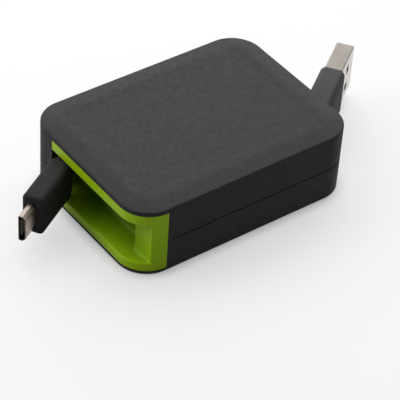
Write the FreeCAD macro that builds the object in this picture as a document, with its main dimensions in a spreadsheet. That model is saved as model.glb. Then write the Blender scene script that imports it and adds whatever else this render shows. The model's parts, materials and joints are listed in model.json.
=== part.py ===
"""Retractable USB cable: a cased reel with a micro-USB plug at one end and a USB-A plug at the other.

Frame: origin at the centre of the case's underside, +Z up, millimetres.
The micro plug leaves the case at the -X end. The USB-A end is the same design turned half round about Z,
so both ends are drawn in one end frame: its end face looks along -X and its plug folds away towards -Y.
"""
import FreeCAD, Part
import math
import os

import Sketcher

SHEET = "Sizes"

# Driving sizes in millimetres and degrees
SIZES = {
    # Reel
    "spool_radius": 19.8,
    "hub_radius": 9.0,
    "hub_wall": 1.2,
    "bushing_wall": 1.4,
    "post_radius": 3.0,
    "pin_radius": 1.2,
    "pin_depth": 3.0,
    "spool_web": 0.8,
    "flange_plate": 1.6,
    "flange_lip": 2.4,
    "barrel_depth": 3.3,
    "barrel_wall": 1.0,
    "barrel_inset": 2.4,
    # Ratchet
    "ball_radius": 1.0,
    "ball_lane": 12.0,
    "ball_travel": 3.2,
    "lane_play": 0.15,
    "track_depth": 1.0,
    "island_span": 60.0,
    "cage_wall": 1.1,
    # Mainspring
    "strip_thickness": 0.3,
    "coil_start": 4.2,
    "coil_pitch": 3.2,
    "coil_room": 0.3,
    "hook_reach": 2.4,
    "hook_slot": 0.3,
    # Cable
    "cable_width": 5.0,
    "cable_thickness": 0.9,
    "neck_length": 2.2,
    # Case
    "floor_plate": 1.4,
    "roof_plate": 1.4,
    "side_wall": 1.6,
    "corner_radius": 7.5,
    "top_edge_bevel": 0.35,
    "bottom_edge_bevel": 0.6,
    "stop_height": 3.05,
    "seam_height": 8.35,
    "tongue_width": 0.7,
    "tongue_height": 1.0,
    "ridge_inset": 4.4,
    "ridge_rise": 0.9,
    "panel_inset": 6.4,
    "panel_drop": 0.45,
    "boss_radius": 2.0,
    "boss_hole": 1.0,
    "boss_pin_length": 4.0,
    # Pockets
    "cover_lip": 0.96,
    "liner_wall": 1.5,
    "liner_tail": 0.3,
    "pocket_end_wall": 1.58,
    "notch_depth": 4.13,
    "rim_bevel": 0.3,
    # Micro plug
    "micro_angle": 31.0,
    "micro_sink": 0.5,
    "micro_reach": 17.9,
    "micro_grip_height": 10.3,
    "micro_grip_thickness": 5.2,
    "micro_grip_round": 1.3,
    "micro_front_round": 0.8,
    "micro_shell_width": 6.85,
    "micro_shell_thickness": 1.8,
    "micro_shell_exposed": 5.0,
    "micro_shell_wall": 0.25,
    "micro_shell_bevel": 0.8,
    "micro_tongue_width": 4.4,
    "micro_tongue_thickness": 0.6,
    "micro_contact_pitch": 0.65,
    "micro_contact_width": 0.35,
    "latch_width": 0.7,
    "latch_length": 1.2,
    "latch_rise": 0.18,
    # USB-A plug
    "usb_a_angle": 35.4,
    "usb_a_sink": 0.4,
    "usb_a_reach": 19.3,
    "usb_a_grip_skin": 0.25,
    "usb_a_grip_thickness": 6.0,
    "usb_a_grip_round": 1.3,
    "usb_a_front_round": 0.8,
    "usb_a_shell_width": 12.0,
    "usb_a_shell_thickness": 4.5,
    "usb_a_shell_exposed": 10.8,
    "usb_a_shell_wall": 0.35,
    "usb_a_shell_round": 0.6,
    "usb_a_tongue_thickness": 1.9,
    "usb_a_contact_pitch": 2.5,
    "usb_a_contact_width": 1.2,
    "window_size": 2.2,
    "window_offset": 2.6,
    "window_setback": 5.2,
    # Shared plug sizes
    "shell_embed": 3.0,
    "root_thickness": 4.4,
    "root_height": 9.6,
    "taper_length": 1.8,
    "contact_thickness": 0.12,
    "tip_setback": 0.5,
    # Clearances
    "joint_gap": 0.05,
    "running_gap": 0.3,
    "cable_room": 0.25,
    "spool_gap": 0.68,
    "liner_gap": 1.6,
    "recess_gap": 0.7,
    "mouth_gap": 0.25,
    "mouth_room": 1.9,
    "root_room": 3.2,
    "root_wall": 1.0,
    "micro_tip_room": 1.7,
    "usb_a_tip_room": 0.4,
    "seam_gap": 0.2,
    "boss_margin": 0.3,
}

MICRO_LINES = ("power", "data_minus", "data_plus", "id", "ground")
USB_A_LINES = ("power", "data_minus", "data_plus", "ground")
ISLAND_AIMS = ((1, 1), (-1, 1), (-1, -1), (1, -1))
ROUND_SHARE = 1 - math.sqrt(0.5)
OVERCUT = 2.0
TINY = 1e-6


class Size:
    """A size as its value now and the sheet expression that gives it."""

    def __init__(self, value, text):
        self.value = value
        self.text = text

    def __add__(self, other):
        other = as_size(other)
        return Size(self.value + other.value, f"({self.text} + {other.text})")

    def __sub__(self, other):
        other = as_size(other)
        return Size(self.value - other.value, f"({self.text} - {other.text})")

    def __mul__(self, other):
        other = as_size(other)
        return Size(self.value * other.value, f"({self.text} * {other.text})")

    def __truediv__(self, other):
        other = as_size(other)
        return Size(self.value / other.value, f"({self.text} / {other.text})")

    def __neg__(self):
        return Size(-self.value, f"(-1 * {self.text})")

    __radd__ = __add__
    __rmul__ = __mul__


def as_size(item):
    if isinstance(item, Size):
        return item
    return Size(float(item), repr(float(item)))


def root_of(size):
    return Size(math.sqrt(size.value), f"sqrt({size.text})")


def largest(first, second):
    return Size(max(first.value, second.value), f"max({first.text}; {second.text})")


def smallest(first, second):
    return Size(min(first.value, second.value), f"min({first.text}; {second.text})")


# Document and its sheet of sizes
doc = FreeCAD.newDocument("RetractableCable")
sheet = doc.addObject("Spreadsheet::Sheet", SHEET)
for row, (alias, number) in enumerate(SIZES.items(), start=1):
    sheet.set(f"A{row}", alias.replace("_", " "))
    sheet.set(f"B{row}", str(number))
    sheet.setAlias(f"B{row}", alias)
doc.recompute()


def size(alias):
    return Size(SIZES[alias], f"{SHEET}.{alias}")


# Heights, stacked up from the floor the case stands on
cable_mid = (size("floor_plate") + size("running_gap") + size("barrel_depth") + size("spool_web")
             + size("cable_room") + size("cable_width") / 2)
cable_half = size("cable_width") / 2
winding_low = cable_mid - cable_half - size("cable_room")
winding_high = cable_mid + cable_half + size("cable_room")
web_low = winding_low - size("spool_web")
barrel_low = size("floor_plate") + size("running_gap")
flange_top = winding_high + size("flange_plate")
track_floor = flange_top - size("track_depth")
ball_height = track_floor + size("joint_gap") + size("ball_radius")
stop_low = flange_top + size("running_gap")
roof_low = stop_low + size("stop_height")
edge_height = roof_low + size("roof_plate")
post_top = flange_top - size("running_gap")
liner_low = size("cover_lip") + size("joint_gap")
liner_high = edge_height - size("cover_lip") - size("joint_gap")

# Lengths of the plugs from their pivots, and heights of their grips
usb_a_length = size("usb_a_reach") + size("usb_a_shell_exposed")
micro_length = size("micro_reach") + size("micro_shell_exposed")
grip_heights = {
    "micro": size("micro_grip_height"),
    "usb_a": size("usb_a_shell_width") + (size("joint_gap") + size("usb_a_grip_skin")) * 2,
}

# Half sizes of the case: as wide as the reel, or a pocket with a corner boss beyond it, needs
diagonal = Size(math.sqrt(0.5), "sqrt(0.5)")
boss_out = (size("corner_radius") - size("side_wall") - size("boss_radius") - size("boss_margin")) * diagonal
boss_need = size("corner_radius") - boss_out + size("boss_radius") + size("joint_gap")
pocket_need = (usb_a_length + size("usb_a_tip_room") + size("pocket_end_wall") + size("root_room")
               + size("root_wall"))
half_width = largest(size("spool_radius") + size("spool_gap") + size("side_wall"), (pocket_need + boss_need) / 2)
inner_half_width = half_width - size("side_wall")
liner_back = size("spool_radius") + size("liner_gap")
recess_back = liner_back + size("liner_wall")
recess_depth = size("usb_a_sink") + size("usb_a_grip_thickness") + size("recess_gap")
half_length = recess_back + recess_depth
inner_half_length = half_length - size("side_wall")

# Places in the end frame
pivot_y = usb_a_length + size("usb_a_tip_room") + size("pocket_end_wall") - half_width
mouth_start = pivot_y + size("mouth_room")
root_end = pivot_y + size("root_room")
liner_end = root_end + size("root_wall")
liner_side = half_length - size("corner_radius") - size("liner_tail")

# Radii of the reel
bore_radius = size("post_radius") + size("joint_gap")
bushing_radius = bore_radius + size("bushing_wall")
hub_inside = size("hub_radius") - size("hub_wall")
pack_radius = size("spool_radius") - size("flange_lip")
pack_inside = size("hub_radius") + size("joint_gap")
barrel_radius = size("spool_radius") - size("barrel_inset")
barrel_inside = barrel_radius - size("barrel_wall")
lane_half = size("ball_radius") + size("lane_play")
track_outside = size("ball_lane") + lane_half
track_inside = size("ball_lane") - size("ball_travel") - lane_half
island_outside = size("ball_lane") - lane_half
island_inside = size("ball_lane") - size("ball_travel") + lane_half


def bind(item, prop, amount):
    """Ties one property of an object to the sheet."""
    item.setExpression(prop, as_size(amount).text)


def place(item, x=0, y=0, z=0, turn=0):
    """Puts an object at a point, turned about Z by an angle in degrees."""
    x, y, z, turn = (as_size(part) for part in (x, y, z, turn))
    spot = FreeCAD.Vector(x.value, y.value, z.value)
    item.Placement = FreeCAD.Placement(spot, FreeCAD.Rotation(FreeCAD.Vector(0, 0, 1), turn.value))
    bind(item, "Placement.Base.x", x)
    bind(item, "Placement.Base.y", y)
    bind(item, "Placement.Base.z", z)
    bind(item, "Placement.Rotation.Angle", turn)


def new_body(label):
    body = doc.addObject("PartDesign::Body", label)
    body.Label = label
    return body


def new_sketch(body, name, plane="XY_Plane", offset=0):
    """Sketch on one of the body's own origin planes, moved along the plane's normal."""
    sketch = body.newObject("Sketcher::SketchObject", name)
    support = [feature for feature in body.Origin.OriginFeatures if feature.Role == plane][0]
    sketch.AttachmentSupport = [(support, "")]
    sketch.MapMode = "FlatFace"
    offset = as_size(offset)
    sketch.AttachmentOffset = FreeCAD.Placement(FreeCAD.Vector(0, 0, offset.value), FreeCAD.Rotation())
    bind(sketch, "AttachmentOffset.Base.z", offset)
    return sketch


def tie(sketch, kind, *places, amount):
    """Adds one constraint that carries a size, and binds it to the sheet."""
    index = sketch.addConstraint(Sketcher.Constraint(kind, *places, amount.value))
    sketch.setExpression(f"Constraints[{index}]", amount.text)


def pin_point(sketch, curve, end, x, y):
    """Holds one sketch point at x, y from the sketch's origin."""
    for kind, axis, amount in (("DistanceX", -2, as_size(x)), ("DistanceY", -1, as_size(y))):
        if abs(amount.value) < TINY:
            sketch.addConstraint(Sketcher.Constraint("PointOnObject", curve, end, axis))
        elif amount.value > 0:
            tie(sketch, kind, -1, 1, curve, end, amount=amount)
        else:
            tie(sketch, kind, curve, end, -1, 1, amount=-amount)


def arc_between(start, finish, radius):
    """Circular arc shorter than half a turn, anticlockwise from start to finish."""
    chord = finish - start
    rise = math.sqrt(radius ** 2 - (chord.Length / 2) ** 2)
    left = FreeCAD.Vector(-chord.y, chord.x, 0).normalize()
    centre = start + chord * 0.5 + left * rise
    first = math.atan2(start.y - centre.y, start.x - centre.x)
    last = math.atan2(finish.y - centre.y, finish.x - centre.x)
    circle = Part.Circle(centre, FreeCAD.Vector(0, 0, 1), radius)
    return Part.ArcOfCircle(circle, first, last)


def draw_outline(sketch, corners):
    """Closed anticlockwise outline. A corner is (x, y), or (x, y, radius) where an arc leaves it."""
    points = [FreeCAD.Vector(as_size(c[0]).value, as_size(c[1]).value, 0) for c in corners]
    curves = []
    for number, corner in enumerate(corners):
        start = points[number]
        finish = points[(number + 1) % len(points)]
        if len(corner) == 3:
            curve = sketch.addGeometry(arc_between(start, finish, corner[2].value))
            tie(sketch, "Radius", curve, amount=corner[2])
        else:
            curve = sketch.addGeometry(Part.LineSegment(start, finish))
        curves.append(curve)
    for number, corner in enumerate(corners):
        sketch.addConstraint(Sketcher.Constraint("Coincident", curves[number - 1], 2, curves[number], 1))
        pin_point(sketch, curves[number], 1, corner[0], corner[1])


def rounded_box(half_x, half_y, radius, x=0, y=0):
    """Corners of a rectangle with round corners, about a centre."""
    x, y = as_size(x), as_size(y)
    return [
        (x - half_x + radius, y - half_y), (x + half_x - radius, y - half_y, radius),
        (x + half_x, y - half_y + radius), (x + half_x, y + half_y - radius, radius),
        (x + half_x - radius, y + half_y), (x - half_x + radius, y + half_y, radius),
        (x - half_x, y + half_y - radius), (x - half_x, y - half_y + radius, radius),
    ]


def sharp_box(low_x, low_y, high_x, high_y):
    return [(low_x, low_y), (high_x, low_y), (high_x, high_y), (low_x, high_y)]


def half_turn(corners):
    """The same outline turned half round about Z."""
    return [(-as_size(c[0]), -as_size(c[1])) + tuple(c[2:]) for c in corners]


def draw_circle(sketch, radius, x=0, y=0):
    spot = FreeCAD.Vector(as_size(x).value, as_size(y).value, 0)
    curve = sketch.addGeometry(Part.Circle(spot, FreeCAD.Vector(0, 0, 1), as_size(radius).value))
    tie(sketch, "Radius", curve, amount=as_size(radius))
    pin_point(sketch, curve, 3, x, y)


def extrude(body, kind, name, sketch, length, up=True):
    """Pads or pockets a sketch along its normal, and checks that the volume changed the right way."""
    before = body.Shape.Volume if body.Tip else 0
    feature = body.newObject(f"PartDesign::{kind}", name)
    feature.Profile = sketch
    feature.Length = as_size(length).value
    bind(feature, "Length", length)
    feature.Reversed = up if kind == "Pocket" else not up
    doc.recompute()
    grew = body.Shape.Volume - before
    if (grew >= -TINY) if kind == "Pocket" else (grew <= TINY):
        raise ValueError(f"{body.Label}: {name} changed the volume by {grew:.4f}")
    return feature


def pad(body, name, corners, low, high, plane="XY_Plane"):
    low, high = as_size(low), as_size(high)
    sketch = new_sketch(body, f"{name}_sketch", plane, low)
    draw_outline(sketch, corners)
    return extrude(body, "Pad", name, sketch, high - low)


def cut(body, name, corners, low, high, plane="XY_Plane"):
    low, high = as_size(low), as_size(high)
    sketch = new_sketch(body, f"{name}_sketch", plane, low)
    draw_outline(sketch, corners)
    return extrude(body, "Pocket", name, sketch, high - low)


def pad_round(body, name, radius, low, high, spots=((0, 0),)):
    low, high = as_size(low), as_size(high)
    sketch = new_sketch(body, f"{name}_sketch", offset=low)
    for x, y in spots:
        draw_circle(sketch, radius, x, y)
    return extrude(body, "Pad", name, sketch, high - low)


def cut_round(body, name, radius, low, high, spots=((0, 0),)):
    low, high = as_size(low), as_size(high)
    sketch = new_sketch(body, f"{name}_sketch", offset=low)
    for x, y in spots:
        draw_circle(sketch, radius, x, y)
    return extrude(body, "Pocket", name, sketch, high - low)


def loft(body, kind, name, first, last):
    """Straight-sided loft between two (corners, offset, plane) sections."""
    sketches = []
    for number, (corners, offset, plane) in enumerate((first, last)):
        sketch = new_sketch(body, f"{name}_section_{number}", plane, offset)
        draw_outline(sketch, corners)
        sketches.append(sketch)
    feature = body.newObject(f"PartDesign::{kind}", name)
    feature.Profile = sketches[0]
    feature.Sections = [sketches[1]]
    feature.Ruled = True
    doc.recompute()
    return feature


def bevel(body, name, amount, wanted):
    """Takes the corner off the edges of the body's last feature for which wanted(edge) holds."""
    base = body.Tip
    edges = [f"Edge{number}" for number, edge in enumerate(base.Shape.Edges, start=1) if wanted(edge)]
    feature = body.newObject("PartDesign::Chamfer", name)
    feature.Base = (base, edges)
    feature.Size = amount.value
    bind(feature, "Size", amount)
    doc.recompute()
    return feature


def all_at(edge, axis, level):
    """True where the whole edge lies at one level along an axis."""
    box = edge.BoundBox
    low = getattr(box, f"{axis}Min")
    high = getattr(box, f"{axis}Max")
    return abs(low - level) < 1e-4 and abs(high - level) < 1e-4


# Outlines shared by the covers and the pockets

def case_outline(inset):
    inset = as_size(inset)
    return rounded_box(half_length - inset, half_width - inset, size("corner_radius") - inset)


def liner_outline(gap):
    """Plan of a pocket at the micro end, grown by a gap where it meets the covers."""
    gap = as_size(gap)
    radius = size("corner_radius")
    wall_line = inner_half_length - size("joint_gap") + gap
    inner_side = inner_half_width - size("joint_gap") + gap
    outside = gap * OVERCUT / size("joint_gap")
    return [
        (-(half_length + outside), mouth_start + gap),
        (-(half_length + outside), -(half_width - radius), radius + outside),
        (-(half_length - radius), -(half_width + outside)),
        (-(liner_side - gap), -(half_width + outside)),
        (-(liner_side - gap), -inner_side),
        (-(liner_back - gap), -inner_side),
        (-(liner_back - gap), liner_end + gap),
        (-wall_line, liner_end + gap),
        (-wall_line, mouth_start + gap),
    ]


def boss_spots():
    """The four places where the covers are pinned together."""
    corner = (-(half_length - size("corner_radius") + boss_out), half_width - size("corner_radius") + boss_out)
    side_x = liner_back - size("liner_gap") - size("boss_radius")
    side_y = inner_half_width - size("boss_radius") - size("boss_margin")
    spots = [corner, (side_x, side_y)]
    return spots + [(-x, -y) for x, y in spots]


# Covers

def make_bottom_cover():
    body = new_body("bottom_cover")
    top = size("seam_height")
    pad(body, "bottom_block", case_outline(0), 0, top)
    bevel(body, "bottom_edge", size("bottom_edge_bevel"), lambda edge: all_at(edge, "Z", 0))
    cut(body, "bottom_room", case_outline(size("side_wall")), size("floor_plate"), top + OVERCUT)
    tongue = new_sketch(body, "tongue_sketch", offset=top)
    draw_outline(tongue, case_outline(size("side_wall")))
    draw_outline(tongue, case_outline(size("side_wall") - size("tongue_width")))
    extrude(body, "Pad", "tongue", tongue, size("tongue_height"))
    gap = size("joint_gap")
    high = top + size("tongue_height") + OVERCUT
    cut(body, "bottom_micro_seat", liner_outline(gap), size("cover_lip"), high)
    cut(body, "bottom_usb_a_seat", half_turn(liner_outline(gap)), size("cover_lip"), high)
    pad_round(body, "post", size("post_radius"), size("floor_plate"), post_top)
    cut_round(body, "post_socket", size("pin_radius") + gap, post_top - size("pin_depth") - gap, post_top)
    slot = (size("strip_thickness") + size("hook_slot")) / 2
    slit = sharp_box(size("pin_radius"), -slot, size("post_radius") + OVERCUT, slot)
    cut(body, "post_slit", slit, size("floor_plate"), web_low)
    pad_round(body, "bosses", size("boss_radius"), size("floor_plate"), top, boss_spots())
    socket_low = top - size("boss_pin_length") - gap
    cut_round(body, "boss_sockets", size("boss_hole") + gap, socket_low, top, boss_spots())
    return body


def make_top_cover():
    body = new_body("top_cover")
    low = size("seam_height") + size("seam_gap")
    ridge = edge_height + size("ridge_rise")
    pad(body, "top_block", case_outline(0), low, edge_height)
    loft(body, "AdditiveLoft", "sloped_border",
         (case_outline(0), edge_height, "XY_Plane"), (case_outline(size("ridge_inset")), ridge, "XY_Plane"))
    loft(body, "SubtractiveLoft", "sunk_panel",
         (case_outline(size("ridge_inset")), ridge, "XY_Plane"),
         (case_outline(size("panel_inset")), ridge - size("panel_drop"), "XY_Plane"))
    bevel(body, "top_edge", size("top_edge_bevel"), lambda edge: all_at(edge, "Z", edge_height.value))
    cut(body, "top_room", case_outline(size("side_wall")), low, roof_low)
    rebate = case_outline(size("side_wall") - size("tongue_width") - size("joint_gap"))
    tongue_top = size("seam_height") + size("tongue_height") + size("seam_gap")
    cut(body, "rebate", rebate, low, tongue_top)
    gap = size("joint_gap")
    high = edge_height - size("cover_lip")
    cut(body, "top_micro_seat", liner_outline(gap), low, high)
    cut(body, "top_usb_a_seat", half_turn(liner_outline(gap)), low, high)
    pad_round(body, "spool_stop", bushing_radius, stop_low, roof_low)
    pad_round(body, "post_pin", size("pin_radius"), post_top - size("pin_depth"), stop_low)
    ball_end = size("ball_lane") + size("ball_radius") + size("joint_gap")
    ball_start = size("ball_lane") - size("ball_travel") - size("ball_radius") - size("joint_gap")
    slot_half = size("ball_radius") + size("joint_gap")
    wall = size("cage_wall")
    cage = sharp_box(-(slot_half + wall), ball_start - wall, slot_half + wall, ball_end + wall)
    pad(body, "ball_cage", cage, stop_low, roof_low)
    slot = sharp_box(-slot_half, ball_start, slot_half, ball_end)
    cut(body, "ball_slot", slot, stop_low, ball_height + size("ball_radius") + gap)
    pad_round(body, "top_bosses", size("boss_radius"), size("seam_height"), roof_low, boss_spots())
    pad_round(body, "boss_pins", size("boss_hole"), size("seam_height") - size("boss_pin_length"),
              size("seam_height"), boss_spots())
    return body


# Green pockets that the plugs fold into

def make_pocket(label, plug_length, tip_room, mouth):
    """Liner with a deep recess for the folded plug and a finger notch that breaks out through the corner."""
    body = new_body(label)
    pad(body, f"{label}_block", liner_outline(0), liner_low, liner_high)
    tip_end = pivot_y - plug_length - tip_room
    outside = half_length + OVERCUT
    notch = half_length - size("notch_depth")
    low = cable_mid - mouth / 2
    recess = [
        (-outside, -(half_width + OVERCUT)), (-notch, -(half_width + OVERCUT)), (-notch, tip_end),
        (-recess_back, tip_end), (-recess_back, root_end), (-outside, root_end),
    ]
    cut(body, f"{label}_recess", recess, low, low + mouth)
    slot_low = cable_mid - cable_half - size("cable_room")
    slot = sharp_box(-(recess_back + OVERCUT / 2), pivot_y, -(liner_back - OVERCUT), root_end)
    cut(body, f"{label}_cable_slot", slot, slot_low, winding_high)

    def on_mouth(edge):
        box = edge.BoundBox
        level = min(abs(box.ZMin - low.value), abs(box.ZMin - (low + mouth).value))
        flat = box.ZLength < 1e-4 and level < 1e-4
        straight = flat and all_at(edge, "X", -half_length.value)
        bent = flat and edge.Curve.TypeId == "Part::GeomCircle"
        return straight or bent

    bevel(body, f"{label}_rim", smallest(size("rim_bevel"), (low - liner_low) / 2), on_mouth)
    return body


# Reel

def make_spool():
    """Hub with its bushing, the web under the winding and the barrel wall round the mainspring."""
    body = new_body("spool")
    profile = [
        (bore_radius, web_low), (barrel_inside, web_low), (barrel_inside, barrel_low),
        (barrel_radius, barrel_low), (barrel_radius, web_low), (size("spool_radius"), web_low),
        (size("spool_radius"), winding_low), (size("hub_radius"), winding_low),
        (size("hub_radius"), winding_high), (hub_inside, winding_high), (hub_inside, winding_low),
        (bushing_radius, winding_low), (bushing_radius, winding_high), (bore_radius, winding_high),
    ]
    sketch = new_sketch(body, "spool_profile", "XZ_Plane")
    draw_outline(sketch, profile)
    turned = body.newObject("PartDesign::Revolution", "spool_turned")
    turned.Profile = sketch
    turned.ReferenceAxis = (sketch, ["V_Axis"])
    turned.Angle = 360
    doc.recompute()
    slot = (size("strip_thickness") + size("hook_slot")) / 2
    notch = sharp_box(-(barrel_radius + OVERCUT), -slot, -(barrel_inside - OVERCUT), slot)
    cut(body, "spring_notch", notch, barrel_low, web_low)
    return body


def make_spool_flange():
    """Upper flange with the ratchet track: two ring lanes joined by gaps between four islands."""
    body = new_body("spool_flange")
    disc = new_sketch(body, "flange_disc_sketch", offset=winding_high)
    draw_circle(disc, size("spool_radius"))
    draw_circle(disc, bore_radius)
    extrude(body, "Pad", "flange_disc", disc, size("flange_plate"))
    track = new_sketch(body, "track_sketch", offset=track_floor)
    draw_circle(track, track_outside)
    draw_circle(track, track_inside)
    extrude(body, "Pocket", "track", track, size("track_depth"))
    reach = size("island_span") / 2
    side = Size(math.cos(math.radians(reach.value)), f"cos({reach.text} * 1 deg)")
    rise = Size(math.sin(math.radians(reach.value)), f"sin({reach.text} * 1 deg)")
    island = new_sketch(body, "island_sketch", offset=track_floor)
    for aim in ISLAND_AIMS:
        middle = (diagonal * aim[0], diagonal * aim[1])
        first = (middle[0] * side + middle[1] * rise, middle[1] * side - middle[0] * rise)
        last = (middle[0] * side - middle[1] * rise, middle[1] * side + middle[0] * rise)
        draw_island(island, first, last)
    extrude(body, "Pad", "islands", island, size("track_depth"))
    return body


def draw_island(sketch, first, last):
    """One island of the ratchet track, between two directions from the spool's axis."""
    ends = []
    for radius, (start, finish) in ((island_outside, (first, last)), (island_inside, (first, last))):
        points = [FreeCAD.Vector((radius * x).value, (radius * y).value, 0) for x, y in (start, finish)]
        curve = sketch.addGeometry(arc_between(points[0], points[1], radius.value))
        tie(sketch, "Radius", curve, amount=radius)
        pin_point(sketch, curve, 1, radius * start[0], radius * start[1])
        pin_point(sketch, curve, 2, radius * finish[0], radius * finish[1])
        ends.append((curve, points))
    for side in (0, 1):
        line = sketch.addGeometry(Part.LineSegment(ends[0][1][side], ends[1][1][side]))
        sketch.addConstraint(Sketcher.Constraint("Coincident", line, 1, ends[0][0], side + 1))
        sketch.addConstraint(Sketcher.Constraint("Coincident", line, 2, ends[1][0], side + 1))


def make_ratchet_ball():
    ball = doc.addObject("Part::Sphere", "ratchet_ball")
    ball.Label = "ratchet_ball"
    bind(ball, "Radius", size("ball_radius"))
    place(ball, 0, size("ball_lane"), ball_height)
    return ball


def make_mainspring():
    """Flat spiral strip from half-circles on two centres, as many as the barrel holds, with a hook at each end."""
    start = SIZES["coil_start"]
    step = SIZES["coil_pitch"] / 2
    thickness = SIZES["strip_thickness"]
    room = barrel_inside.value - SIZES["coil_room"] - thickness - start
    half_turns = 1 + 2 * math.floor(room / SIZES["coil_pitch"])
    low = barrel_low.value
    width = (web_low - size("running_gap")).value - low
    up = FreeCAD.Vector(0, 0, 1)
    inner = []
    outer = []
    for number in range(half_turns):
        centre = FreeCAD.Vector(0 if number % 2 == 0 else step, 0, low)
        radius = start + number * step
        first = 0 if number % 2 == 0 else math.pi
        inner.append(Part.ArcOfCircle(Part.Circle(centre, up, radius), first, first + math.pi).toShape())
        wide = Part.Circle(centre, up, radius + thickness)
        outer.append(Part.ArcOfCircle(wide, first, first + math.pi).toShape())
    caps = []
    for side in (0, -1):
        end = 0 if side == 0 else 1
        caps.append(Part.makeLine(inner[side].Vertexes[end].Point, outer[side].Vertexes[end].Point))
    strip = Part.Face(Part.Wire(Part.__sortEdges__(inner + outer + caps))).extrude(up * width)
    inner_hook = Part.makeBox(SIZES["hook_reach"], thickness, width,
                              FreeCAD.Vector(start + thickness - SIZES["hook_reach"], -thickness / 2, low))
    end_x = min(cap.Vertexes[1].X for cap in caps)
    outer_x = -(barrel_radius.value - SIZES["hook_slot"])
    outer_hook = Part.makeBox(end_x + thickness - outer_x, thickness, width,
                              FreeCAD.Vector(outer_x, -thickness / 2, low))
    spring = doc.addObject("Part::Feature", "mainspring")
    spring.Label = "mainspring"
    spring.Shape = strip.fuse([inner_hook, outer_hook]).removeSplitter()
    return spring


def make_wound_cable():
    """The wound turns of flat cable as one ring."""
    body = new_body("wound_cable")
    ring = new_sketch(body, "wound_ring", offset=cable_mid - cable_half)
    draw_circle(ring, pack_radius)
    draw_circle(ring, pack_inside)
    extrude(body, "Pad", "wound_turns", ring, size("cable_width"))
    return body


# Cable between the reel and the plugs

def make_lead(label, pivot_x, facing):
    """Straight run of flat cable from the winding's tangent to the plug's pivot."""
    run_radius = pack_radius + size("running_gap") + size("cable_thickness") / 2
    reach = root_of(pivot_x * pivot_x + pivot_y * pivot_y)
    length = root_of(reach * reach - run_radius * run_radius)
    cosine = (pivot_x * length + pivot_y * run_radius) / (reach * reach)
    sine = (pivot_x * run_radius - pivot_y * length) / (reach * reach)
    turn = Size(math.degrees(math.atan2(sine.value, cosine.value)), f"atan2({sine.text}; {cosine.text})")
    near = size("cable_thickness") / 2 + size("joint_gap") * 2
    half = size("cable_thickness") / 2
    run = doc.addObject("Part::Box", label)
    run.Label = label
    bind(run, "Length", length - near)
    bind(run, "Width", size("cable_thickness"))
    bind(run, "Height", size("cable_width"))
    x = (-pivot_x + near * cosine + half * sine) * facing
    y = (pivot_y + near * sine - half * cosine) * facing
    place(run, x, y, cable_mid - cable_half, turn if facing > 0 else turn + Size(180.0, "180 deg"))
    return run


def make_neck(label):
    """Short stub of flat cable, round at the pivot, that the plug swings on."""
    body = new_body(label)
    half = size("cable_thickness") / 2
    length = size("neck_length")
    sketch = new_sketch(body, f"{label}_sketch", offset=-cable_half)
    draw_outline(sketch, [(0, -half), (length, -half), (length, half), (0, half, half), (-half, 0, half)])
    extrude(body, "Pad", f"{label}_stub", sketch, size("cable_width"))
    return body


# Plugs, drawn along +X from the pivot

def make_grip(label, kind, socket):
    """Moulded grip: a tapered root, a straight body, a rounded nose, and a socket for the shell."""
    body = new_body(label)
    height = grip_heights[kind] / 2
    thick = size(f"{kind}_grip_thickness") / 2
    rounding = size(f"{kind}_grip_round")
    front = size(f"{kind}_reach")
    root = size("neck_length")
    full = root + size("taper_length")
    root_round = smallest(rounding, size("root_thickness") / 2 - size("joint_gap"))
    root_section = rounded_box(size("root_thickness") / 2, size("root_height") / 2, root_round)
    section = rounded_box(thick, height, rounding)
    nose = size(f"{kind}_front_round")
    loft(body, "AdditiveLoft", f"{label}_root", (root_section, root, "YZ_Plane"), (section, full, "YZ_Plane"))
    pad(body, f"{label}_body", section, full, front - nose, "YZ_Plane")
    steps = [(nose * inset, front - nose * back) for inset, back in ((0, 1), (ROUND_SHARE, ROUND_SHARE), (1, 0))]
    for number in (1, 2):
        sections = []
        for inset, level in steps[number - 1:number + 1]:
            sections.append((rounded_box(thick - inset, height - inset, rounding - inset), level, "YZ_Plane"))
        loft(body, "AdditiveLoft", f"{label}_nose_{number}", *sections)
    cut(body, f"{label}_socket", socket, front - size("shell_embed"), front + OVERCUT, "YZ_Plane")
    return body


def bevelled(inset):
    """Micro shell section: a flat box with two bevelled corners on its +Y side."""
    inset = as_size(inset)
    thick = size("micro_shell_thickness") / 2 - inset
    height = size("micro_shell_width") / 2 - inset
    bevel = size("micro_shell_bevel")
    return [(-thick, -height), (thick - bevel, -height), (thick, -height + bevel),
            (thick, height - bevel), (thick - bevel, height), (-thick, height)]


def make_micro_shell():
    body = new_body("micro_shell")
    front = size("micro_reach")
    tip = micro_length
    wall = size("micro_shell_wall")
    back = front - size("shell_embed") + size("joint_gap")
    pad(body, "micro_shell_block", bevelled(0), back, tip, "YZ_Plane")
    cut(body, "micro_shell_inside", bevelled(wall), back + wall, tip + OVERCUT, "YZ_Plane")
    low, high = latch_plan(size("joint_gap"))
    half = size("latch_width") / 2 + size("joint_gap")
    inside = size("micro_shell_thickness") / 2 - wall * 2
    windows = new_sketch(body, "latch_windows_sketch", "XZ_Plane", inside)
    for z in latch_heights():
        draw_outline(windows, sharp_box(low, z - half, high, z + half))
    extrude(body, "Pocket", "latch_windows", windows, wall * 2 + OVERCUT)
    return body


def latch_heights():
    spread = size("micro_shell_width") / 2 - size("micro_shell_bevel") - size("latch_width")
    return [-spread, spread]


def latch_plan(gap):
    """Ends of a latch along the plug, with a gap all round for its window."""
    middle = size("micro_reach") + size("latch_length") * 2
    half = size("latch_length") / 2 + gap
    return middle - half, middle + half


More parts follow.
